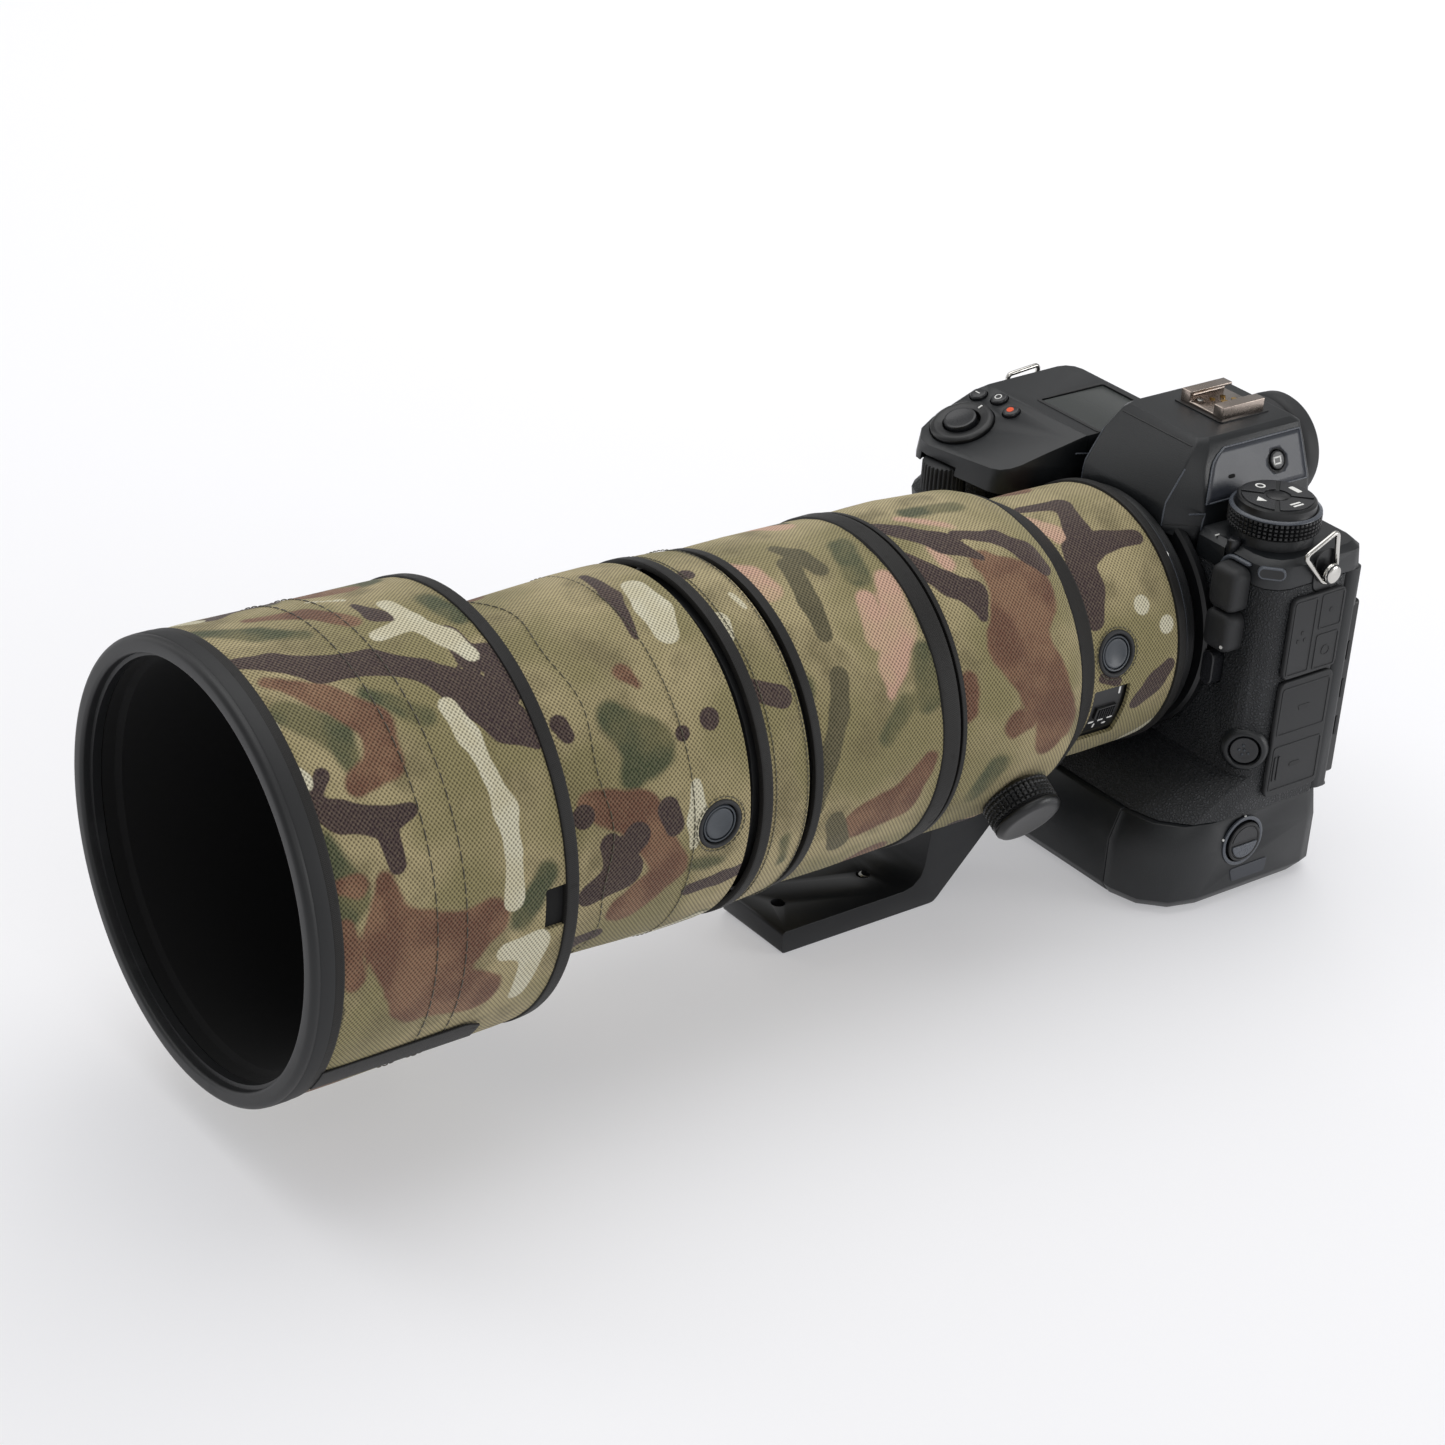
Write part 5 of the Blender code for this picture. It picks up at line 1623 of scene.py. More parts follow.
@dataclass
class Hood:
    """Rubber rim, ledge and flocked inside of the hood."""

    wall: float = 3.2
    ledge: float = 2.4

    def build(self) -> None:
        """Build the rim, the tube and the lock button."""
        low, high = box_mm("hood_rim")
        outside = high.x
        front, rear = low.y, high.y
        inside = box_mm("hood_shell")[1].x - self.wall + 0.1
        profile = [(outside - 1.2, rear)]
        profile += [(outside - 1.9 + 1.9 * cos(a), front + 1.9 - 1.9 * sin(a)) for a in np.linspace(0, pi / 2, 7)]
        profile += [(inside + 1.4 - 1.2 * sin(a), front + 1.2 - 1.2 * cos(a)) for a in np.linspace(0, pi / 2, 5)]
        profile += [(inside + 0.2, front + 3.0), (inside - 0.9, front + 3.3), (inside - 0.9, rear)]
        made = ring_form(profile, 220).piece("rim_bumper", Look.rim_rubber, "hood", slot="soft_rubber")
        stand_for(made, "hood_rim")
        edge = [
            (outside + 0.1, rear + 0.9), (outside + 0.1, front + 3.0), (outside - 0.3, front + 2.4),
            (outside - 0.6, front + 3.0), (outside - 0.6, rear + 0.9)
        ]
        ring_form(edge, 220).piece("rim_edge_tape", Look.edge_rubber, "hood")
        self.tube(inside, rear)
        self.lock()

    def tube(self, inside: float, front: float) -> None:
        """Flocked tube with a bevelled ledge.

        Args:
            inside: its inner radius.
            front: its front end along the axis.
        """
        low, high = box_mm("hood_shell")
        bore = box_mm("front_barrel")[1].x
        points = [(high.x, low.y + 0.1), (high.x - 0.4, high.y), (bore + 0.5, high.y), (bore + 0.5, high.y - 3.0)]
        points += [(bore + 4.0, high.y - 8.0)]
        points += [
            (inside - self.ledge, front + 11.0), (inside - self.ledge, front + 6.0), (inside - 0.7, front + 4.4),
            (inside - 0.7, low.y + 0.1)
        ]
        made = ring_form(points, 220).piece("hood_tube", Look.flock, "hood", slot="hood_inside")
        stand_for(made, "hood_shell")
        unroll(made)

    def lock(self) -> None:
        """Ridged lock button in its window."""
        low, high = box_mm("hood_lock_button")
        spot = (low + high) / 2
        form = Form().prism(rounded(high.y - low.y - 0.2, high.z - low.z - 0.2, 0.8), -4.2, 0.5, 0.3)
        made = form.piece(
            "hood_lock_pad", Look.slate, "hood_lock", on_lens(spot.y, 0, high.x - 0.1), bevel=0.2, slot="controls"
        )
        stand_for(made, "hood_lock_button")
        ribs = Form().prism(rounded(0.5, 8.0, 0.2, 2), 0.3, 0.85).moved(Matrix.Translation((1.2, 0, 0)), 4)
        ribs.place(Matrix.Translation((-1.8, 0, 0)))
        ribs.piece("hood_lock_ribs", Look.slate, "hood_lock", on_lens(spot.y, 0, high.x - 0.1))


@dataclass
class LensTube:
    """Everything of the lens that is not fabric: tube, glass, buttons, switch, collar, foot and knob."""

    def build(self) -> None:
        """Build the lens parts."""
        self.tube()
        self.front_glass()
        self.function_button("front_fn", "front_fn_button", "front_fn_button", 2.0)
        spot = middle("rear_fn_button")
        self.function_button(
            "rear_fn", "rear_fn_button", "rear_fn_button", degrees(atan2(spot.z - AXIS.z, spot.x - AXIS.x))
        )
        self.switch_panel()
        self.knob()
        self.foot()
        self.mount()
        for node in ("focus_ring", "control_ring"):
            dress(node, Look.rubber)
        dress("front_barrel", Look.barrel, 0.0)
        dress("collar_ring", Look.anodised, 0.0)
        for node in ("focus_group", "rear_element"):
            dress(node, Look.glass, 0.0)

    def tube(self) -> None:
        """Lens tube with its chamfered mount end and a painted index dot."""
        low, high = box_mm("lens_barrel")
        wide = high.x
        neck = wide - 2.2
        profile = [
            (wide, low.y), (wide, -61.5), (neck, -58.6), (neck, -11.2), (neck + 0.5, -10.6), (neck + 0.5, -7.4),
            (neck - 0.2, -6.6), (neck - 0.2, -4.6), (
                neck - 1.2, high.y
            ), (24.5, high.y), (24.5, -6.0), (36.0, -20.0), (40.3, low.y),
        ]
        made = ring_form(profile, 200).piece("barrel_tube", Look.barrel, "lens", slot="barrel", smooth=30)
        stand_for(made, "lens_barrel")
        # painted highlight: the chamfer ring at the mount end is drawn in the pale edge paint
        bevel = [(neck + 0.6, -9.2), (neck + 0.6, -8.4), (neck - 1.0, -5.4), (neck - 1.5, -5.6), (neck - 0.4, -9.2)]
        ring_form(bevel, 200).piece("mount_bevel", Look.edge, "lens", smooth=30)
        Form().prism(circle(1.25, 28), -0.3, 0.2).piece(
            "mount_index_dot", Look.white, "lens", on_lens(-9.6, 48, neck + 0.6)
        )

    def front_glass(self) -> None:
        """Domed front element in a ringed retainer with plain engraved rings."""
        low, high = box_mm("front_element")
        reach = high.x
        dome = [(0.0, low.y + 1.4)]
        for k in range(1, 15):
            t = k / 14
            dome.append((reach * t, low.y + 1.4 + 2.6 * t * t))
        dome += [(reach, high.y), (0.0, high.y - 0.6)]
        made = ring_form(dome, 160, False).piece("front_lens", Look.glass, "lens", slot="glass")
        stand_for(made, "front_element")
        barrel = box_mm("front_barrel")
        outside, front = barrel[1].x, barrel[0].y
        ring = [
            (outside - 0.1, front + 6.0), (outside - 0.1, front + 0.2), (outside - 1.0, front - 0.6),
            (reach + 1.9, front - 0.6)
        ]
        for k in range(4):
            y = front + 0.2 + k * 0.9
            ring += [(reach + 1.6 - k * 0.35, y), (reach + 1.25 - k * 0.35, y + 0.45)]
        ring += [
            (reach + 0.1, low.y - 0.1), (reach + 0.1, low.y + 0.6), (reach + 1.4, low.y + 0.6),
            (reach + 1.4, front + 6.0)
        ]
        ring_form(ring, 180).piece("front_retainer", Look.barrel, "lens", smooth=25)

    def function_button(self, name: str, node: str, body: str, angle: float) -> None:
        """Ringed button with a dished cap, in a rubber surround.

        Args:
            name: start of the pieces' names.
            node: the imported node.
            body: the body it rides on.
            angle: degrees round the lens.
        """
        low, high = box_mm(node)
        spot = (low + high) / 2
        radius = (high.y - low.y) / 2
        way = Vector((cos(radians(angle)), 0, sin(radians(angle))))
        corners = [v.co / MM for v in frame["nodes"][node].data.vertices]
        top = max((c - Vector((AXIS.x, 0, AXIS.z))).dot(way) for c in corners)
        stand = on_lens(spot.y, angle, top)
        cap = [(0.0, -0.75)] + [(r, -0.75 + 0.035 * r * r) for r in np.linspace(0.6, radius - 1.6, 6)]
        cap += [(radius - 1.35, -0.08), (radius - 1.15, -0.3), (radius - 1.05, -1.2)]
        cap += [
            (radius - 0.8, -1.2), (radius - 0.75, -0.05), (radius - 0.35, 0.0), (radius - 0.1, -0.3),
            (radius - 0.1, -2.7), (0.0, -2.7)
        ]
        made = Form().lathe(cap, 72).piece(f"{name}_cap", Look.slate, body, stand, slot="soft_rubber", smooth=50)
        stand_for(made, node)
        ring = [
            (radius + 0.35, -3.0), (radius + 0.35, 0.15), (radius + 0.75, 0.55), (radius + 1.35, 0.5),
            (radius + 1.75, 0.0), (radius + 1.75, -3.0)
        ]
        Form().lathe(ring, 72, True).piece(f"{name}_surround", Look.rubber, "lens", stand, smooth=60)

    def switch_panel(self) -> None:
        """Recessed black panel with a ridged slider and plain index marks."""
        low, high = box_mm("focus_switch")
        spot = (low + high) / 2
        angle = degrees(atan2(spot.z - AXIS.z, spot.x - AXIS.x))
        rows, columns = 10, 24
        form = Form()
        profile = []
        for j in range(columns + 1):
            a = radians(-27.5 + 25.0 * j / columns)
            profile.append((42.2 * cos(a), 42.2 * sin(a)))
        grid = [
            [form.dot((AXIS.x + x, -48.6 + 15.2 * i / rows, AXIS.z + z)) for x, z in profile]
            for i in range(rows + 1)
        ]
        for i in range(rows):
            for j in range(columns):
                form.bm.faces.new((grid[i][j], grid[i + 1][j], grid[i + 1][j + 1], grid[i][j + 1]))
        made = form.piece("switch_plate", Look.trim, "lens")
        thicken(made, 0.3)
        slider = Form().prism(rounded(high.y - low.y - 0.4, 4.6, 0.5), -3.4, 0.1, 0.25)
        piece = slider.piece(
            "switch_slider", Look.trim, "focus_switch", on_lens(spot.y, angle, 43.3), bevel=0.15, slot="controls"
        )
        stand_for(piece, "focus_switch")
        ribs = Form().prism(rounded(0.45, 4.0, 0.15, 2), 0.05, 0.45).moved(Matrix.Translation((1.0, 0, 0)), 7)
        ribs.place(Matrix.Translation((-3.0, 0, 0))).piece(
            "switch_ribs", Look.trim, "focus_switch", on_lens(spot.y, angle, 43.3)
        )
        for k, (y, turn, wide, tall) in enumerate((
            (-36.4, -5.6, 0.7, 2.6), (-45.0, -20.5, 2.2, 0.6), (-41.0, -20.5, 2.2, 0.6), (-37.0, -20.5, 2.2, 0.6),
            (-43.0, -23.4, 0.6, 1.8), (-38.6, -23.4, 1.6, 0.6)
        )):
            Form().prism(rounded(wide, tall, 0.15, 2), -0.3, 0.1).piece(
                f"switch_mark_{k + 1}", Look.white, "lens", on_lens(y, turn, 42.4)
            )

    def knob(self) -> None:
        """Clamp knob with a diamond knurl and a plain dished end."""
        spot = middle("clamp_knob")
        joint = next(j for j in frame["joints"] if j["name"] == "knob_turn")
        way = Vector(joint["axis"])
        corners = [v.co / MM for v in frame["nodes"]["clamp_knob"].data.vertices]
        heights = [(c - spot).dot(way) for c in corners]
        radius = max(((c - spot) - way * (c - spot).dot(way)).length for c in corners)
        top, bottom = max(heights), min(heights)
        grip_low = top - 11.0
        count = 40

        knurl = knurled(radius, count, (grip_low + 0.6, top - 3.4), grip_low, 1.45, 0.5)
        profile = [
            (0.0, bottom), (3.4, bottom), (3.4, grip_low - 1.5), (radius - 2.4, grip_low - 1.0),
            (radius - 0.9, grip_low)
        ]
        profile += [(radius, z) for z in np.linspace(grip_low + 0.5, top - 3.3, 30)]
        profile += [
            (radius - 0.5, top - 3.1), (radius - 0.1, top - 2.6), (radius, top - 2.2), (radius - 0.1, top - 1.4),
            (radius - 1.0, top - 0.3), (radius - 1.8, top), (radius - 3.0, top - 0.1), (0.0, top - 0.55)
        ]
        made = Form().lathe(profile, count * 8, False, knurl).piece(
            "collar_knob", Look.trim, "clamp_knob", seat(spot, way), slot="barrel", smooth=40
        )
        stand_for(made, "clamp_knob")

    def foot(self) -> None:
        """Foot of the collar with two threaded bushes."""
        dress("tripod_foot", Look.anodised, 0.9, 30)
        low, _high = box_mm("tripod_foot")
        for k, y in enumerate((low.y + 20.0, low.y + 47.0)):
            bush = [(3.1, 0.25), (3.1, 7.6), (2.5, 7.9), (2.2, 7.9)]
            bush += [(2.2 + (0.25 if i % 2 else 0.0), 7.6 - i * 0.36) for i in range(20)] + [(2.2, 0.25)]
            Form().lathe(bush, 40, True).piece(
                f"foot_bush_{k + 1}", Look.bayonet, "collar", seat((0, y, 0), (0, 0, 1))
            )

    def mount(self) -> None:
        """Bright bayonet ring on the body and the lens flange."""
        low, high = box_mm("mount_ring")
        profile = [
            (high.x, low.y + 0.1), (high.x, high.y), (27.6, high.y), (27.6, low.y + 0.6), (28.6, low.y),
            (high.x - 0.5, low.y)
        ]
        made = ring_form(profile, 160).piece("bayonet_ring", Look.bayonet, "camera", slot="shoe_steel", smooth=30)
        stand_for(made, "mount_ring")
        dress("lens_mount", Look.bayonet, 0.0)
        collar = [(42.8, 0.4), (42.8, 2.4), (42.0, 3.4), (35.4, 3.4), (35.4, 0.6), (36.0, -0.4), (41.6, -0.4)]
        ring_form(collar, 160).piece("mount_surround", Look.trim, "camera", smooth=30)
        dress("sensor_unit", Look.glass, 0.0)


def crest(node: str, normal: Spot) -> Vector:
    """Centre of a node's outermost face along a direction, in millimetres.

    Args:
        node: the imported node.
        normal: the direction.

    Returns:
        The centre.
    """
    way = Vector(normal).normalized()
    corners = [v.co / MM for v in frame["nodes"][node].data.vertices]
    top = max(c.dot(way) for c in corners)
    face = [c for c in corners if top - c.dot(way) < 0.05]
    return sum(face, Vector()) / len(face)


SLOPE = Vector((0.0, -0.35837, 0.93358))  # the slope in front of the top display
CHEEK = Vector((0.92555, 0.0, 0.37863))  # the finder's port side
BEVEL_FACE = Vector((0.70711, -0.70711, 0.0))  # the body's bevel beside the mount


def touch(node: str, spot: Spot, way: Spot) -> tuple[Vector, Vector]:
    """Point and normal where a line meets a node's surface, in millimetres.

    Args:
        node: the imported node.
        spot: a point that the line goes through.
        way: the direction from outside towards the surface.

    Returns:
        The point met and the surface normal there.
    """
    ahead = Vector(way).normalized()
    start = Vector(spot) - ahead * 300.0
    met, place, normal, _face = frame["nodes"][node].ray_cast(start * MM, ahead)
    if not met:
        return Vector(spot), -ahead
    return place / MM, normal


def ridge(
    name: str, node: str, corners: Sequence[Spot], way: Spot, radius: float, finish: Finish, closed: bool = False
) -> None:
    """Thin raised line that follows a node's surface.

    Args:
        name: the piece.
        node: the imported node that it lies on.
        corners: points beside the surface that it passes.
        way: the direction towards the surface.
        radius: of the line.
        finish: its finish.
        closed: whether it is a loop.
    """
    path = []
    loop = list(corners) + ([corners[0]] if closed else [])
    for first, second in zip(loop, loop[1:]):
        for k in range(8):
            path.append(touch(node, Vector(first).lerp(Vector(second), k / 8), way)[0])
    if not closed:
        path.append(touch(node, loop[-1], way)[0])
    Form().bar(path, radius, 8, closed).piece(name, finish, "camera", smooth=60)


@dataclass
class CameraBody:
    """Shell, controls, covers, finder, shoe, doors, rings and rear panel of the camera."""

    port: float = box_mm("front_casing")[1].x
    grip_side: float = box_mm("front_casing")[0].x
    rear: float = box_mm("rear_casing")[1].y

    def build(self) -> None:
        """Build the camera body."""
        self.shells()
        self.finder()
        self.shoe()
        self.top_controls()
        self.release_dial()
        self.port_side()
        self.battery_side()
        self.strap_ring("strap_ring_port", self.port, 1)
        self.strap_ring("strap_ring_grip", self.grip_side, -1)
        self.back()
        self.underside()

    def shells(self) -> None:
        """Finish the carried-over shells."""
        for node in ("base_casing", "battery_cover", "rear_casing"):
            dress(node, Look.shell, 0.7)
        for node in ("grip_top_cover", "port_top_cover", "viewfinder_housing"):
            dress(node, Look.shell, 0.5)
        dress("front_casing", Look.skin, 0.6)
        dress("hand_grip", Look.skin, 0.8, 40)
        dress("battery", Look.card, 0.4)
        dress("monitor_bracket", Look.trim, 0.2)
        dress("monitor", Look.trim, 0.5)
        dress("top_display", Look.display, 0.3)
        dress("eyepiece_lens", Look.eye_glass, 0.0)
        for node in ("record_button", "iso_button", "exposure_button", "dial_lock_button", "view_button"):
            dress(node, Look.button, 0.25)
        dress("lens_release_button", Look.button, 0.5)
        dress("power_switch", Look.trim, 0.3)

    def finder(self) -> None:
        """Round rubber eyecup, cheek panel, microphone slot and a mark on the round button."""
        low, high = box_mm("eyecup")
        centre = (low + high) / 2
        radius = high.x
        depth = high.y - low.y
        cup = [
            (13.6, 0.0), (radius - 0.6, 0.0), (radius - 0.2, 0.6), (radius - 0.2, 3.2), (radius - 1.1, 3.9),
            (radius - 1.1, 4.7), (radius - 0.2, 5.4), (radius, 7.5)
        ]
        cup += [
            (radius - 0.2, depth - 1.6), (radius - 1.0, depth - 0.4), (radius - 2.2, depth),
            (radius - 3.4, depth - 0.6), (13.9, 5.0), (13.6, 1.0)
        ]
        made = Form().lathe(cup, 120, True).piece(
            "eyecup_rubber", Look.rubber, "camera", rearward(centre.x, low.y, centre.z), slot="soft_rubber",
            smooth=50
        )
        stand_for(made, "eyecup")
        face = CHEEK
        spot = crest("view_button", face)
        frame_mark = seat(spot, face, (0, 1, 0))
        for k, (x, y, wide, tall) in enumerate(
            ((0, 1.05, 3.4, 0.55), (0, -1.05, 3.4, 0.55), (1.45, 0, 0.55, 2.4), (-1.45, 0, 0.55, 2.4))
        ):
            Form().prism(rounded(wide, tall, 0.1, 2), -0.2, 0.05).place(Matrix.Translation((x, y, 0))).piece(
                f"view_mark_{k + 1}", Look.white, "view_button", frame_mark
            )
        bezel = [(3.65, -1.0), (3.65, 0.0), (3.9, 0.25), (4.3, 0.1), (4.3, -1.0)]
        Form().lathe(bezel, 60, True).piece("view_bezel", Look.trim, "camera", seat(spot - face * 0.45, face))
        self.cheek(spot, face)

    def cheek(self, button: Vector, face: Vector) -> None:
        """Raised panels on both cheeks of the finder, a slot, seams and painted highlights along the edges.

        Args:
            button: centre of the round button.
            face: the direction that it faces.
        """
        node = "viewfinder_housing"
        rows, columns = 9, 24
        for side in (1, -1):
            form = Form()
            grid = []
            for i in range(rows + 1):
                z = 127.6 + 15.2 * i / rows
                bend = max(0.0, (i - rows + 3) / 3)
                start = 7.5 + 0.45 * (z - 127.6) + 4.5 * bend ** 2
                row = []
                for j in range(columns + 1):
                    y = start + (53.0 - start) * j / columns
                    spot, normal = touch(node, (0, min(y, 32.0), z), (-side, 0, 0))
                    row.append(form.dot(Vector((spot.x, y, spot.z)) + normal * 0.24))
                grid.append(row)
            for i in range(rows):
                for j in range(columns):
                    form.bm.faces.new((grid[i][j], grid[i][j + 1], grid[i + 1][j + 1], grid[i + 1][j]))
            edge = [
                grid[0][0], *(row[0] for row in grid[1:]), *grid[-1][1:], *(row[-1] for row in reversed(grid[:-1])),
                *reversed(grid[0][1:-1])
            ]
            line = [v.co.copy() for v in edge]
            name = "port" if side > 0 else "grip"
            made = form.piece(f"cheek_panel_{name}", Look.panel, "camera", smooth=20)
            thicken(made, 0.4)
            if side > 0:
                bpy.context.view_layer.update()
                cut_with(
                    made,
                    [Form().lathe(
                        [(0.0, -3.0), (4.25, -3.0), (4.25, 3.0), (0.0, 3.0)], 48
                    ).place(seat(button, face))]
                )
            # painted highlight: a pale line round each cheek panel, in the edge paint
            Form().bar(line, 0.34, 8, True).piece(f"cheek_border_{name}", Look.edge, "camera", smooth=60)
            # painted highlight: pale lines down the edges of the finder hump
            for k, (x0, z0, x1, z1) in enumerate(((19.4, 117.5, 19.2, 138.0), (27.3, 114.0, 27.3, 126.0))):
                ridge(
                    f"hump_edge_{name}_{k + 1}", node, [(side * x0, 0, z0), (side * x1, 0, z1)], (0, 1, 0), 0.3,
                    Look.edge
                )
        ridge("hump_brow", node, [(-16.5, 0, 143.9), (16.5, 0, 143.9)], (0, 1, 0), 0.25, Look.trim)
        ridge(
            "hump_seam_port", node, [(0, -6.0, 120.4), (0, 16.0, 120.4), (0, 52.0, 120.4)], (-1, 0, 0), 0.22,
            Look.edge_rubber
        )
        ridge(
            "hump_seam_grip", node, [(0, -6.0, 120.4), (0, 16.0, 120.4), (0, 52.0, 120.4)], (1, 0, 0), 0.22,
            Look.edge_rubber
        )
        spot, normal = touch(node, (0, 20.0, 134.0), (-1, 0, 0))
        # painted shade: a near-black pad stands for the dark inside of the microphone slot
        Form().prism(rounded(3.0, 1.3, 0.6), -0.3, 0.5).piece(
            "mic_slot", Look.flock, "camera", seat(spot, normal, (0, 1, 0))
        )

    def shoe(self) -> None:
        """Steel rails on a dark base, with contacts and two screws."""
        dress("hot_shoe", Look.shoe, 0.25, 30)
        low, high = box_mm("hot_shoe")
        centre = (low + high) / 2
        plate = Form().prism(rounded(high.x - low.x + 3.0, high.y - low.y + 3.4, 1.2), -1.2, 0.14)
        plate.piece("shoe_plate", Look.trim, "camera", upright(centre.x, centre.y, low.z), bevel=0.1)
        floor = low.z + 1.02
        for k, (x, y) in enumerate(((0, 1.0), (-3.4, 3.6), (3.4, 3.6), (0, 5.4), (-3.4, -1.2))):
            Form().prism(circle(0.95 if k else 1.2, 24), -0.2, 0.16).piece(
                f"shoe_contact_{k + 1}", Look.brass, "camera", seat((centre.x + x, centre.y + y, floor), (0, 0, 1))
            )
        for k, x in enumerate((-5.2, 5.2)):
            head = [(0.0, 0.06), (0.35, 0.06), (0.5, 0.22), (1.15, 0.26), (1.35, 0.1), (1.35, -0.2), (0.0, -0.2)]
            Form().lathe(head, 32).piece(
                f"shoe_screw_{k + 1}", Look.bayonet, "camera",
                seat((centre.x + x, centre.y - 5.4, floor), (0, 0, 1))
            )

    def wheel(self, name: str, node: str, body: str, axis: Spot, ribs: int, finish: Finish) -> None:
        """Ribbed thumb wheel in place of a packed dial.

        Args:
            name: the piece.
            node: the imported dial.
            body: the body it rides on.
            axis: its axis.
            ribs: how many ribs.
            finish: its finish.
        """
        way = Vector(axis).normalized()
        spot = middle(node)
        corners = [v.co / MM - spot for v in frame["nodes"][node].data.vertices]
        half = max(c.dot(way) for c in corners)
        radius = max((c - way * c.dot(way)).length for c in corners)

        def rib(angle: float, r: float, z: float) -> float:
            """Valley between two ribs."""
            if r < radius - 0.8 or abs(z) > half - 0.6:
                return 0.0
            return -0.75 * (0.5 - 0.5 * cos(angle * ribs)) ** 2

        profile = [(0.0, -half), (radius - 1.6, -half), (radius - 0.5, -half + 0.5)]
        profile += [(radius, z) for z in np.linspace(-half + 0.8, half - 0.8, 5)]
        profile += [(radius - 0.5, half - 0.5), (radius - 1.6, half), (0.0, half)]
        made = Form().lathe(profile, ribs * 10, False, rib).piece(
            name, finish, body, seat(spot, way, (0, 1, 0) if abs(way.y) < 0.9 else (1, 0, 0)), slot="controls",
            smooth=44
        )
        stand_for(made, node)

    def top_controls(self) -> None:
        """Shutter button, power lever mark, wheels, coloured dots and the display frame."""
        self.wheel("front_wheel", "front_dial", "front_dial", (0, 0, 1), 30, Look.rubber)
        self.wheel("rear_wheel", "rear_dial", "rear_dial", (0, 0, 1), 34, Look.rubber)
        top = crest("shutter_button", SLOPE)
        stand = seat(top, SLOPE, (1, 0, 0))
        dish = [(0.0, -0.5)] + [(r, -0.5 + 0.02 * r * r) for r in np.linspace(0.7, 4.6, 7)]
        dish += [(5.0, 0.0), (5.5, -0.2), (5.75, -0.8), (5.75, -3.5), (0.0, -3.5)]
        stand_for(
            Form().lathe(dish, 72).piece("shutter_cap", Look.button, "shutter_button", stand, slot="controls"),
            "shutter_button"
        )
        index = Form().prism(rounded(0.6, 1.8, 0.15, 2), -0.4, 0.1).place(Matrix.Translation((0, 8.6, 0)))
        index.piece("power_index", Look.white, "power_switch", seat(crest("power_switch", SLOPE), SLOPE, (1, 0, 0)))
        for body, finish in (
            ("record_button", Look.orange), ("iso_button", Look.white), ("exposure_button", Look.white)
        ):
            spot = crest(body, SLOPE)
            place = seat(spot, SLOPE, (1, 0, 0))
            if body == "record_button":
                Form().prism(circle(1.25, 28), -0.2, 0.07).piece("record_dot", finish, body, place)
            elif body == "iso_button":
                Form().lathe(
                    [(1.3, -0.2), (1.3, 0.06), (0.95, 0.06), (0.95, -0.2)], 40, True
                ).piece("iso_ring", finish, body, place)
            else:
                Form().prism(rounded(2.2, 0.4, 0.15, 2), -0.2, 0.06).piece("exposure_bar", finish, body, place)
        low, high = box_mm("top_display")
        wide, deep = high.x - low.x, high.y - low.y
        outer, inner = rounded(wide + 3.4, deep + 3.4, 2.2), rounded(wide + 0.5, deep + 0.5, 1.0)
        self.frame_piece(
            "display_frame", outer, inner, -0.5, 0.45, upright((low.x + high.x) / 2, (low.y + high.y) / 2, high.z),
            Look.trim, "camera"
        )

    def frame_piece(
        self, name: str, outer: Outline, inner: Outline, low: float, high: float, place: Matrix, finish: Finish,
        body: str
    ) -> None:
        """Flat frame between two outlines of the same number of points.

        Args:
            name: the piece.
            outer: outside outline.
            inner: inside outline.
            low: bottom height.
            high: top height.
            place: its seat.
            finish: its finish.
            body: the body it rides on.
        """
        form = Form()
        loops = [
            [form.dot((x, y, z)) for x, y in line] for line,
            z in ((outer, low), (outer, high), (inner, high), (inner, low))
        ]
        form.loft(loops, True).piece(name, finish, body, place, bevel=0.12)

    def release_dial(self) -> None:
        """Knurled dial with four sector buttons, their marks, a hub and an index mark."""
        low, high = box_mm("release_dial")
        centre = (low + high) / 2
        radius = high.x - centre.x
        floor, top = low.z, high.z
        count = 54
        ring_top = floor + 6.6

        knurl = knurled(radius, count, (floor + 0.6, ring_top - 0.5), floor + 0.6, 1.4, 0.75)
        profile = [(0.0, floor), (radius - 1.0, floor), (radius - 0.2, floor + 0.4)]
        profile += [(radius, z) for z in np.linspace(floor + 0.6, ring_top - 0.5, 34)]
        profile += [
            (radius - 0.4, ring_top - 0.2), (radius - 1.0, ring_top), (radius - 1.6, ring_top + 0.1),
            (radius - 1.9, ring_top + 0.7)
        ]
        profile += [(radius - 2.0, top - 1.0), (radius - 2.6, top - 0.4), (0.0, top - 0.4)]
        made = Form().lathe(profile, count * 8, False, knurl).piece(
            "dial_ring", Look.trim, "release_dial", upright(centre.x, centre.y, 0), slot="controls", smooth=40
        )
        stand_for(made, "release_dial")
